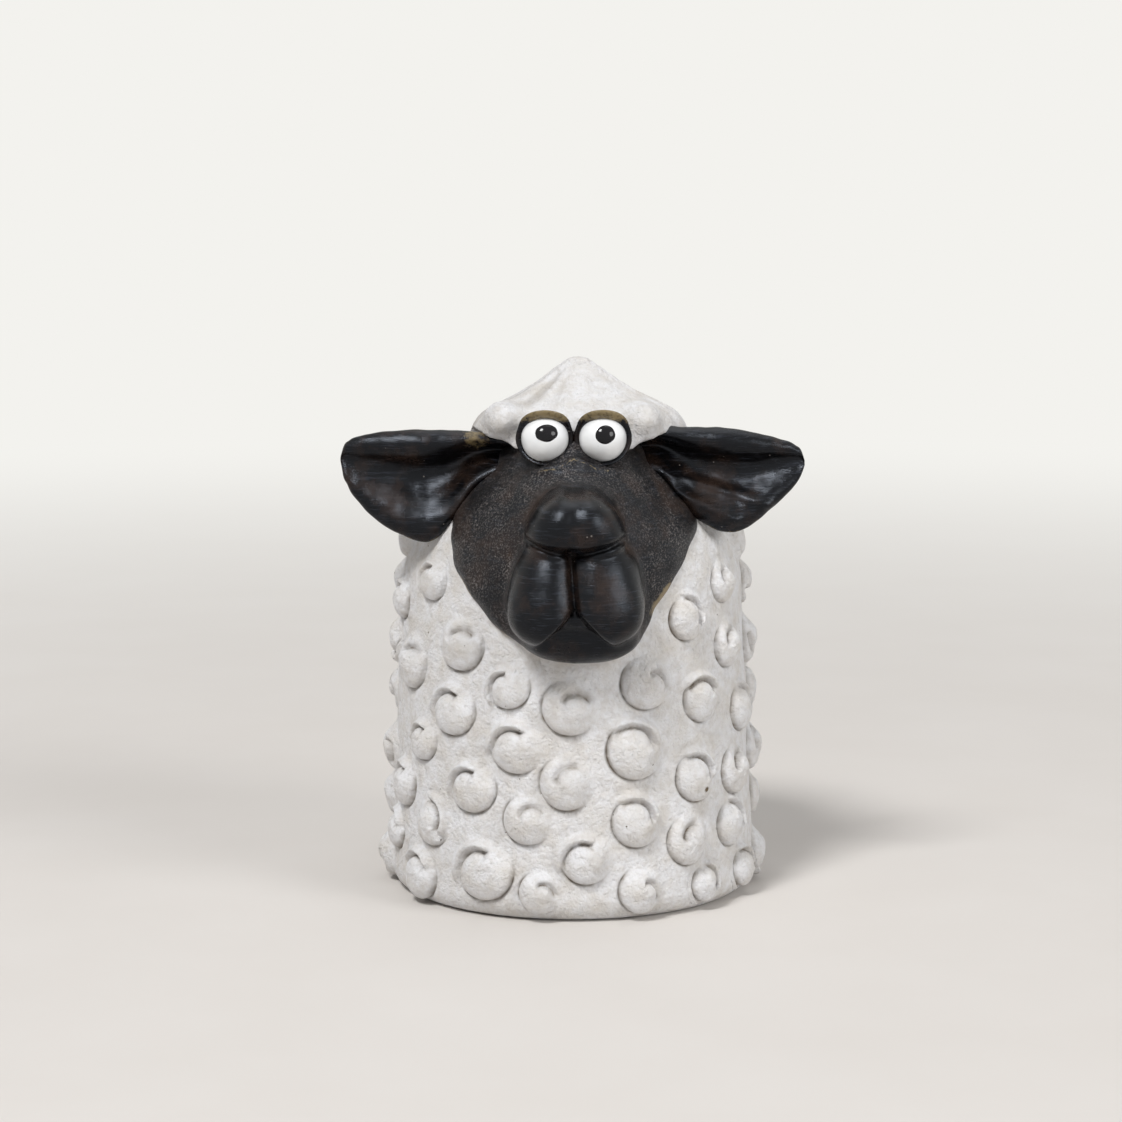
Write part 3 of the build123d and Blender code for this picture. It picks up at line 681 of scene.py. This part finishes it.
# Worn paint showing khaki clay, and along the brow a painted highlight in the same colour.
worn_and_highlit = add_node(black_paint, "Attribute", attribute_name="wear_and_brow_highlight")
flake = add_node(black_paint, "TexNoise", {
    "Vector": place, "Scale": 1 / (1.1 * MM), "Detail": 4.0, "Roughness": 0.7})
flaked = add_node(black_paint, "Math", {0: worn_and_highlit.outputs["Fac"], 1: flake.outputs["Fac"]}, operation="ADD")
bare = add_node(black_paint, "MapRange", {"Value": flaked.outputs[0], "From Min": 1.0, "From Max": 1.25})
khaki = add_node(black_paint, "Mix", {
    0: rub.outputs["Fac"], 6: linear("#9A8A68"), 7: linear("#57492F")}, data_type="RGBA")
edged = add_node(black_paint, "Mix", {
    0: bare.outputs[0], 6: dusty.outputs[2], 7: khaki.outputs[2]}, data_type="RGBA")
dry = add_node(black_paint, "Attribute", attribute_name="dry")
grit = add_node(black_paint, "TexNoise", {
    "Vector": place, "Scale": 1 / (0.34 * MM), "Detail": 3.0, "Roughness": 0.8})
grit_step = add_node(black_paint, "MapRange", {
    "Value": grit.outputs["Fac"], "From Min": 0.51, "From Max": 0.65, "To Max": 0.9})
drift = add_node(black_paint, "TexNoise", {"Vector": place, "Scale": 1 / (7 * MM), "Detail": 4.0})
drift_step = add_node(black_paint, "MapRange", {
    "Value": drift.outputs["Fac"], "From Min": 0.38, "From Max": 0.66, "To Min": 0.25})
dry_here = add_node(black_paint, "Math", {
    0: drift_step.outputs[0], 1: dry.outputs["Fac"]}, operation="MULTIPLY")
grit_here = add_node(black_paint, "Math", {
    0: grit_step.outputs[0], 1: dry_here.outputs[0]}, operation="MULTIPLY")
gritty = add_node(black_paint, "Mix", {
    0: grit_here.outputs[0], 6: edged.outputs[2], 7: linear("#7B7674")}, data_type="RGBA")
grit_bump = add_node(black_paint, "Bump", {
    "Height": grit.outputs["Fac"], "Strength": 0.35, "Distance": 0.12 * MM})
skin_bump = add_node(black_paint, "Bump", {
    "Height": skin.outputs["Fac"], "Strength": 0.4, "Distance": 0.14 * MM, "Normal": grit_bump.outputs[0]})
satin = add_node(black_paint, "MapRange", {
    "Value": rub.outputs["Fac"], "From Min": 0.3, "From Max": 0.7, "To Min": 0.16, "To Max": 0.30})
dulled = add_node(black_paint, "Math", {
    0: dry.outputs["Fac"], 1: 0.22, 2: satin.outputs[0]}, operation="MULTIPLY_ADD")
show(black_paint, add_node(black_paint, "BsdfPrincipled", {
    "Base Color": gritty.outputs[2], "Roughness": dulled.outputs[0], "Normal": skin_bump.outputs[0],
    "Specular IOR Level": 0.27, "Specular Tint": linear("#DDE6F4")}))

HEAD_LUMPS = 0.6
DRY_EDGE = (0.6, 3.0)
EDGE_WEAR, EDGE_WEAR_BAND, EDGE_WEAR_BACK = 0.56, (0.6 * MM, 2.2 * MM), -2 * MM
WEAR_PATCH, WEAR_PATCH_WIDTH = 0.7, 8 * MM
CHIN_WEAR, CHIN_WEAR_BAND = 0.3, (49.0, 54.0)
# Painted highlight: a pale line in the worn-clay colour along the brow ledge, where the ledge catches the
# light.
BROW_HIGHLIGHT, BROW_HIGHLIGHT_BAND, BROW_HIGHLIGHT_HALF, BROW_HIGHLIGHT_BACK = 0.66, (0.10, 0.5), 6.5, -20
bm = worked_lump(MASK_MIDDLE, head_clay)
soften(bm, 2)
wear_and_highlight_layer = bm.verts.layers.float.new("wear_and_brow_highlight")
dry_layer = bm.verts.layers.float.new("dry")
roughen(bm, HEAD_LUMPS)
for vert in bm.verts:
    proud = off_bell(vert.co)
    x, y, z = vert.co / MM
    forward = float(mask_front(x, z)) - y
    vert[dry_layer] = 1 - ease(*DRY_EDGE, forward)
    patch = EDGE_WEAR + WEAR_PATCH * noise.noise(vert.co / WEAR_PATCH_WIDTH)
    patch += CHIN_WEAR * (1 - ease(*CHIN_WEAR_BAND, z))
    edge_wear = patch * (1 - ease(*EDGE_WEAR_BAND, proud)) * ease(EDGE_WEAR_BACK, 0, proud)
    # The painted highlight along the brow line, beside the real wear on the edges.
    off_brow = abs(z - float(along_curve(x, BROW_LINE, 1)))
    on_brow = abs(x) < BROW_HIGHLIGHT_HALF and y < BROW_HIGHLIGHT_BACK
    brow_highlight = BROW_HIGHLIGHT * (1 - ease(*BROW_HIGHLIGHT_BAND, off_brow)) * on_brow
    vert[wear_and_highlight_layer] = max(edge_wear, brow_highlight)
head = new_piece(bm, "head_and_muzzle", black_paint)
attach(head, "root")
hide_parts("head", "nose", "lip_left", "lip_right", "chin")

# Ears. Leaves of clay rolled flat, cupped, the top edge turned over forwards into a thick hem, pinched onto
# the sides of the head and painted black with it.
EAR_HALF_THICKNESS, EAR_BELLY = 1.7, 0.7
EAR_BACK = -10.4
EAR_ROOT = 9.0
EAR_SWEEP = 2.6
EAR_TOP = {
    -1: ((9.0, 84.6), (13.0, 86.2), (17.0, 87.0), (20.6, 87.3), (27.9, 87.4), (35.2, 86.8), (38.5, 86.2),
         (40.8, 85.3), (42.0, 84.0), (42.5, 82.4)),
    1: ((9.0, 85.2), (13.0, 87.2), (17.3, 88.0), (19.5, 87.9), (26.8, 87.8), (32.2, 87.0), (37.7, 85.7),
        (40.6, 84.5), (41.8, 83.2), (42.3, 81.6))}
EAR_BOTTOM = {
    -1: ((9.0, 80.5), (13.0, 79.6), (15.7, 78.4), (18.8, 75.8), (21.0, 72.3), (24.2, 68.4), (26.4, 67.1),
         (27.9, 67.1), (31.5, 68.4), (35.4, 70.6), (39.0, 73.8), (41.2, 77.0), (42.2, 79.6), (42.5, 81.6)),
    1: ((9.0, 80.5), (13.0, 79.9), (15.8, 78.8), (18.0, 76.5), (19.5, 74.5), (21.3, 72.3), (24.9, 69.7),
        (26.8, 69.0), (30.0, 68.9), (32.3, 70.0), (36.2, 73.2), (39.9, 76.4), (41.6, 78.8), (42.3, 80.8))}
EAR_CUP = (
    (0.0, 5.8), (0.10, 6.0), (0.22, 5.2), (0.36, 3.2), (0.50, 1.2), (0.60, 0.7), (0.68, 1.5), (0.77, 4.0),
    (0.86, 5.2), (0.94, 5.0), (1.0, 4.2))
TIP_FLATTER, TIP_FROM, TIP_POWER = 0.85, 0.50, 1.5
EAR_FOLDS = {-1: (), 1: (((16.8, 80.0), (36.0, 73.6)), ((18.0, 76.7), (29.6, 71.2)))}
FOLD_RISE, FOLD_WIDTH = 0.6, 0.9
RIM_WEAR, RIM_WEAR_BAND, RIM_WEAR_FROM = 0.55, (0.0, 0.05), (0.25, 0.40)
EAR_RUB, EAR_RUB_WEAR, EAR_RUB_EDGE = (-17.6, 86.0), 0.62, (1.5, 4.5)
EAR_LUMPS = 0.9
for side, name in ((-1, "left"), (1, "right")):
    bm = bmesh.new()
    bmesh.ops.create_icosphere(bm, subdivisions=BALL_DETAIL, radius=1)
    wear_and_highlight_layer = bm.verts.layers.float.new("wear_and_brow_highlight")
    spots = np.array([v.co for v in bm.verts])
    chord = np.sqrt(np.maximum(1 - spots[:, 0] ** 2, 1e-9))
    along = (spots[:, 0] + 1) / 2
    across = np.clip((spots[:, 2] / chord + 1) / 2, 0, 1)
    reach = EAR_ROOT + along * (EAR_TOP[side][-1][0] - EAR_ROOT)
    top, bottom = along_curve(reach, EAR_TOP[side], 1), along_curve(reach, EAR_BOTTOM[side], 1)
    up = bottom + across * (top - bottom)
    shallow = 1 - TIP_FLATTER * np.clip((along - TIP_FROM) / (1 - TIP_FROM), 0, 1) ** TIP_POWER
    forward = along_curve(across, EAR_CUP, 1) * shallow + EAR_SWEEP * along ** 2
    for fold in EAR_FOLDS[side]:
        ridge = np.exp(-(off_line(side * reach, up, fold) / FOLD_WIDTH) ** 2) * (spots[:, 1] < 0)
        forward += FOLD_RISE * ridge
    belly = np.sign(spots[:, 1]) * np.abs(spots[:, 1]) ** EAR_BELLY
    back = EAR_BACK - forward + EAR_HALF_THICKNESS * belly
    for vert, x, y, z, share, rim in zip(bm.verts, side * reach, back, up, along, across):
        vert.co = Vector((x, y, z)) * MM
        rim_wear = RIM_WEAR * (1 - ease(*RIM_WEAR_BAND, rim)) * ease(*RIM_WEAR_FROM, share)
        rubbed = 1 - ease(*EAR_RUB_EDGE, hypot(x - EAR_RUB[0], z - EAR_RUB[1]))
        vert[wear_and_highlight_layer] = max(rim_wear, EAR_RUB_WEAR * rubbed)
    soften(bm, 3)
    bmesh.ops.recalc_face_normals(bm, faces=bm.faces[:])
    roughen(bm, EAR_LUMPS)
    ear = new_piece(bm, "ear_leaf_" + name, black_paint)
    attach(ear, "root")
    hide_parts("ear_" + name)

# Eyelids. A cup of clay behind each eyeball with its edge rolled over the ball, painted black with the face;
# the paint is rubbed off the top of the roll.
LID_EDGE = EYE_RADIUS + 0.1
CUP_RADIUS = LID_EDGE + 1.0
CUP_ANGLES = (0, 30, 52, 70)
ROLL_START = (LID_EDGE + 0.70, 0, -0.9)
ROLL_MIDDLE = (LID_EDGE + 0.32, 0, -0.5)
ROLL_TURN = -1.25 * pi
ROLL_STEPS = 10
CUP_INSIDE = (0.7 * EYE_RADIUS, 0, -0.72 * EYE_RADIUS)
CUP_FLOOR = (0, 0, -EYE_RADIUS - 0.3)
LID_STEPS = 72
LID_TILT = 6
LID_BEND = 1.9
LID_SQUAT = 0.93
ROLL_THICKER, ROLL_OUT, ROLL_UP = 0.13, (EYE_RADIUS - 0.2, EYE_RADIUS + 0.9), (0.4, 1.0)
LID_WEAR, LID_WEAR_UP = 0.74, (0.3, 1.0)
LID_LUMPS = 0.5
for name in ("left", "right"):
    bm = bmesh.new()
    profile = []
    for angle in CUP_ANGLES:
        out, deep = CUP_RADIUS * sin(radians(angle)), CUP_RADIUS * cos(radians(angle))
        profile.append(bm.verts.new((out, 0, -deep)))
    profile.append(bm.verts.new(ROLL_START))
    for start, end in zip(profile, profile[1:]):
        bm.edges.new((start, end))
    lip = bmesh.ops.spin(bm, geom=[profile[-1]], cent=ROLL_MIDDLE, axis=(0, 1, 0), angle=ROLL_TURN,
                         steps=ROLL_STEPS)
    inner = bmesh.ops.extrude_vert_indiv(bm, verts=verts_of(lip["geom_last"]))
    inner["verts"][0].co = CUP_INSIDE
    closing = bmesh.ops.extrude_vert_indiv(bm, verts=inner["verts"])
    closing["verts"][0].co = CUP_FLOOR
    bmesh.ops.spin(bm, geom=bm.verts[:] + bm.edges[:], cent=(0, 0, 0), axis=(0, 0, 1), angle=2 * pi,
                   steps=LID_STEPS, use_merge=True)
    bmesh.ops.remove_doubles(bm, verts=bm.verts[:], dist=WELD / MM)
    bmesh.ops.recalc_face_normals(bm, faces=bm.faces[:])
    tilt = Matrix.Rotation(radians(90 + LID_TILT), 3, "X")
    bmesh.ops.rotate(bm, verts=bm.verts[:], cent=(0, 0, 0), matrix=tilt)
    wear_and_highlight_layer = bm.verts.layers.float.new("wear_and_brow_highlight")
    for vert in bm.verts:
        vert.co.y -= LID_BEND * (vert.co.z / EYE_RADIUS) ** 2
        vert.co.z *= LID_SQUAT
        on_roll = ease(*ROLL_OUT, hypot(vert.co.x, vert.co.z)) * ease(*ROLL_UP, vert.co.z / EYE_RADIUS)
        vert.co.x *= 1 + ROLL_THICKER * on_roll
        vert.co.z *= 1 + ROLL_THICKER * on_roll
        vert[wear_and_highlight_layer] = LID_WEAR * ease(*LID_WEAR_UP, vert.co.z / EYE_RADIUS)
        vert.co = Vector(vert.co) * MM + Vector(EYES[name]) * MM
    roughen(bm, LID_LUMPS)
    lid = new_piece(bm, "eyelid_cup_" + name, black_paint)
    finer = lid.modifiers.new("rounded_roll", "SUBSURF")
    finer.levels = finer.render_levels = 1
    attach(lid, "root")
    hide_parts("eyelid_" + name)

# Eyeballs. Balls of clay set into the lids, dipped in a white gloss enamel that lies a little unevenly and
# is brighter and bluer than the fleece.
eye_enamel, place = new_material("white_gloss_enamel")
pool = add_node(eye_enamel, "TexNoise", {"Vector": place, "Scale": 1 / (4 * MM), "Detail": 3.0})
eye_tone = add_node(eye_enamel, "Mix", {
    0: pool.outputs["Fac"], 6: linear("#F4F4F3"), 7: linear("#E2E5E8")}, data_type="RGBA")
speck_cells = add_node(eye_enamel, "TexVoronoi", {"Vector": place, "Scale": 1 / (1.7 * MM)})
speck = add_node(eye_enamel, "MapRange", {
    "Value": speck_cells.outputs["Distance"], "From Min": 0.03, "From Max": 0.07, "To Min": 0.35,
    "To Max": 0.0})
specked = add_node(eye_enamel, "Mix", {
    0: speck.outputs[0], 6: eye_tone.outputs[2], 7: linear("#9A9488")}, data_type="RGBA")
orange_peel = add_node(eye_enamel, "Bump", {
    "Height": pool.outputs["Fac"], "Strength": 0.15, "Distance": 0.2 * MM})
show(eye_enamel, add_node(eye_enamel, "BsdfPrincipled", {
    "Base Color": specked.outputs[2], "Roughness": 0.22, "Normal": orange_peel.outputs[0],
    "Coat Weight": 0.4, "Coat Roughness": 0.08}))
EYE_SEGMENTS, EYE_RINGS = 64, 40
EYE_LUMPS = 0.35
for name in ("left", "right"):
    bm = bmesh.new()
    bmesh.ops.create_uvsphere(bm, u_segments=EYE_SEGMENTS, v_segments=EYE_RINGS, radius=EYE_RADIUS * MM)
    bmesh.ops.translate(bm, verts=bm.verts[:], vec=Vector(EYES[name]) * MM)
    roughen(bm, EYE_LUMPS)
    ball = new_piece(bm, "eye_ball_" + name, eye_enamel)
    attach(ball, "root")
    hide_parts("eyeball_" + name)

# Pupils. A drop of black gloss enamel laid high on the front of each eyeball, thicker in its middle.
pupil_enamel, place = new_material("black_gloss_enamel")
flow = add_node(pupil_enamel, "TexNoise", {"Vector": place, "Scale": 1 / (2.2 * MM)})
ink = add_node(pupil_enamel, "Mix", {
    0: flow.outputs["Fac"], 6: linear("#08080A"), 7: linear("#17161A")}, data_type="RGBA")
flow_bump = add_node(pupil_enamel, "Bump", {
    "Height": flow.outputs["Fac"], "Strength": 0.2, "Distance": 0.15 * MM})
show(pupil_enamel, add_node(pupil_enamel, "BsdfPrincipled", {
    "Base Color": ink.outputs[2], "Roughness": 0.12, "Normal": flow_bump.outputs[0],
    "Specular IOR Level": 0.25}))
# Half width, half height, and how far aside and above the middle of the ball.
PUPILS = (("left", 2.0, 1.5, 0.3, 1.3), ("right", 1.75, 1.65, 0.4, 1.0))
PUPIL_SEGMENTS, PUPIL_RINGS = 48, 24
PUPIL_RAGGED, RAGGED_PACE = 0.06, 1.7
PUPIL_RISE = 0.22 * MM
for name, half_width, half_height, aside, above in PUPILS:
    middle, radius = Vector(EYES[name]) * MM, EYE_RADIUS * MM
    bm = bmesh.new()
    bmesh.ops.create_uvsphere(bm, u_segments=PUPIL_SEGMENTS, v_segments=PUPIL_RINGS, radius=1)
    for vert in bm.verts:
        x, z, forward = vert.co.x, vert.co.y, vert.co.z
        ragged = 1 + PUPIL_RAGGED * noise.noise(vert.co * RAGGED_PACE + Vector((aside, above, 0)))
        toward = Vector(((aside + x * half_width * ragged) * MM, 0, (above + z * half_height * ragged) * MM))
        toward.y = -sqrt(radius ** 2 - toward.x ** 2 - toward.z ** 2)
        vert.co = middle + toward * (1 + PUPIL_RISE * forward / radius)
    bmesh.ops.recalc_face_normals(bm, faces=bm.faces[:])
    drop = new_piece(bm, "eye_pupil_" + name, pupil_enamel)
    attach(drop, "root")
    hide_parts("pupil_" + name)

# Topknot. A cap of clay drawn up to a blunt peak, its edge brought down beside the eyes, combed downwards
# from the peak with a fine tool while soft and painted cream with the body.
TOPKNOT_MIDDLE = (0.5, -8.0, 86.0)
TOPKNOT_PEAK = (1.0, -7.0, 100.2)
TOPKNOT_HALVES = (20.6, 16.5)
TOPKNOT_FALL = (
    (0.0, 0.0), (0.07, 0.25), (0.18, 1.7), (0.35, 4.2), (0.55, 6.6), (0.75, 8.7), (0.92, 10.8), (1.0, 12.3),
    (1.15, 17.0))
FALL_SLOPE, RIM_SLOPE, CAP_ROUND = 0.8, 17.0, 3.0
CAP_SUNK = 1.5
OVER_EAR_BACK, OVER_EAR_RUN, OVER_EAR_SIDE, OVER_EAR_SOFT = -2, 7.5, 7, 1.5
HEM_HEIGHT, HEM_RISES_AT, HEM_RISE, HEM_ROUND = 84.4, 10.5, 2.4, 0.5
FLANK_MIDDLE, FLANK_HALVES, FLANK_JOIN = (12.4, -16.8, 89.4), (3.6, 5.4, 3.3), 2.5
SOCKET_GAP, SOCKET_ROUND = 1.0, 0.6
# The comb's strokes: strength, how many go round, length, and where in the noise they lie.
COMB_STROKES = ((1.0, 2.8, 30 * MM, 3.0), (0.4, 7, 15 * MM, 7.0))
COMB_START = (1.5 * MM, 7 * MM)
COMB_DEPTH = 0.48 * MM
TOPKNOT_LUMPS = 0.8
# Painted shade: the whole cap is darkened a little for the light from above, and the comb's grooves more.
TOPKNOT_PAINTED_SHADE, COMB_PAINTED_SHADE, COMB_PAINTED_SHADE_BAND = 0.08, 0.28, (0.15, 0.6)


def topknot_clay(points):
    """The topknot as one field in millimetres, less than zero inside the clay."""
    x, y, z = points.T
    away = np.hypot((x - TOPKNOT_PEAK[0]) / TOPKNOT_HALVES[0], (y - TOPKNOT_PEAK[1]) / TOPKNOT_HALVES[1])
    slope = TOPKNOT_PEAK[2] - along_curve(away, TOPKNOT_FALL, 1)
    dome = DOME_MIDDLE / MM + np.sqrt(np.maximum((DOME_RADIUS / MM) ** 2 - x ** 2 - y ** 2, 0))
    cap = cut(FALL_SLOPE * (z - slope), RIM_SLOPE * (away - 1), CAP_ROUND)
    over_ear = np.clip((OVER_EAR_BACK - y) / OVER_EAR_RUN, 0, 1)
    over_ear = over_ear * np.clip((np.abs(x) - OVER_EAR_SIDE) / OVER_EAR_SOFT, 0, 1)
    hem = HEM_HEIGHT + np.clip(np.abs(x) - HEM_RISES_AT, 0, HEM_RISE)
    seat = dome - CAP_SUNK
    cap = cut(cap, seat + over_ear * np.maximum(hem - seat, 0) - z, HEM_ROUND)
    for side, name in ((-1, "left"), (1, "right")):
        flank = (side * FLANK_MIDDLE[0], *FLANK_MIDDLE[1:])
        cap = pressed(cap, egg(points, flank, FLANK_HALVES), FLANK_JOIN)
        socket = np.linalg.norm(points - np.array(EYES[name]), axis=1) - EYE_RADIUS - SOCKET_GAP
        cap = cut(cap, -socket, SOCKET_ROUND)
    return cap


bm = worked_lump(TOPKNOT_MIDDLE, topknot_clay)
soften(bm, 1)
shade_wash_layer = bm.verts.layers.float.new("wash_and_painted_shade")
bm.normal_update()
peak = Vector(TOPKNOT_PEAK) * MM
for vert in bm.verts:
    away = vert.co - peak
    out = hypot(away.x, away.y)
    around = atan2(away.x, -away.y)
    comb = sum(deep * noise.noise(Vector((around * often, out / length, seed)))
               for deep, often, length, seed in COMB_STROKES)
    comb *= ease(*COMB_START, out)
    vert.co += vert.normal * (COMB_DEPTH * comb + TOPKNOT_LUMPS * hand_lumps(vert.co))
    # Painted shade over the whole cap, deeper in the comb's grooves.
    vert[shade_wash_layer] = TOPKNOT_PAINTED_SHADE + COMB_PAINTED_SHADE * ease(*COMB_PAINTED_SHADE_BAND, -comb)
topknot = new_piece(bm, "topknot_cap", fleece_paint)
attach(topknot, "root")
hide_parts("topknot")

# Studio. A flat pale floor that fades into the pale surround away from the part, a soft lamp high in front
# and to the left, a broad weak one overhead and another weak one on the right.
FADE_FROM, FADE_TO = 0.10, 0.80
FLOOR_HALF = 1.38
SURROUND = "#F3F2EE"
# The lamps' places and diameters in metres, and their powers in watts.
LAMPS = (
    ("key", (-0.62, -1.04, 1.56), 0.50, 28.5),
    ("top", (0.24, 0.30, 2.0), 1.4, 7.5),
    ("fill", (1.2, -0.9, 0.7), 0.7, 10.0))
LAMP_AIM = Vector((0, 0, 0.05))
LENS, SENSOR = 96.26, 36.0
CAMERA_PLACE = Vector((-2.2, -558.7, 142.8)) * MM
CAMERA_PITCH = 8.33


def seeing_rays(material):
    """1 for the rays that show the surroundings: seen straight, in a gloss or through glass."""
    path = add_node(material, "LightPath")
    gloss = add_node(material, "Math", {
        0: path.outputs["Is Camera Ray"], 1: path.outputs["Is Glossy Ray"]}, operation="MAXIMUM")
    return add_node(material, "Math", {
        0: gloss.outputs[0], 1: path.outputs["Is Transmission Ray"]}, operation="MAXIMUM").outputs[0]


floor_paint, place = new_material("pale_paper")
fibre = add_node(floor_paint, "TexNoise", {"Vector": place, "Scale": 1 / (40 * MM), "Detail": 3.0})
paper = add_node(floor_paint, "Mix", {
    0: fibre.outputs["Fac"], 6: linear("#D3CFCB"), 7: linear("#CDC8C3")}, data_type="RGBA")
matt_paper = add_node(floor_paint, "BsdfPrincipled", {"Base Color": paper.outputs[2], "Roughness": 0.9})
far_off = add_node(floor_paint, "VectorMath", {0: place}, operation="LENGTH")
fading = add_node(floor_paint, "MapRange", {
    "Value": far_off.outputs["Value"], "From Min": FADE_FROM, "From Max": FADE_TO},
    interpolation_type="SMOOTHSTEP")
faded = add_node(floor_paint, "Math", {
    0: fading.outputs[0], 1: seeing_rays(floor_paint)}, operation="MULTIPLY")
wall_tone = add_node(floor_paint, "Emission", {"Color": linear(SURROUND)})
show(floor_paint, add_node(floor_paint, "MixShader", {
    0: faded.outputs[0], 1: matt_paper.outputs[0], 2: wall_tone.outputs[0]}))
bm = bmesh.new()
bmesh.ops.create_grid(bm, x_segments=1, y_segments=1, size=FLOOR_HALF)
floor = new_piece(bm, "floor", floor_paint)

for name, place, size, power in LAMPS:
    lamp = bpy.data.lights.new(name, "AREA")
    lamp.shape = "DISK"
    lamp.size = size
    lamp.energy = power
    holder = bpy.data.objects.new(name, lamp)
    holder.location = place
    holder.rotation_euler = (LAMP_AIM - holder.location).to_track_quat("-Z", "Y").to_euler()
    bpy.context.scene.collection.objects.link(holder)
world = bpy.data.worlds.new("pale_room")
world.use_nodes = True
surround = add_node(world, "Mix", {
    0: seeing_rays(world), 6: linear("#8A8A8A"), 7: linear(SURROUND)}, data_type="RGBA")
world.node_tree.links.new(surround.outputs[2], world.node_tree.nodes["Background"].inputs["Color"])
bpy.context.scene.world = world

lens = bpy.data.cameras.new("camera")
lens.lens = LENS
lens.sensor_width = SENSOR
camera = bpy.data.objects.new("camera", lens)
camera.location = CAMERA_PLACE
camera.rotation_euler = (radians(90 - CAMERA_PITCH), 0, 0)
bpy.context.scene.collection.objects.link(camera)
bpy.context.scene.camera = camera
bpy.context.scene.view_settings.view_transform = "Standard"
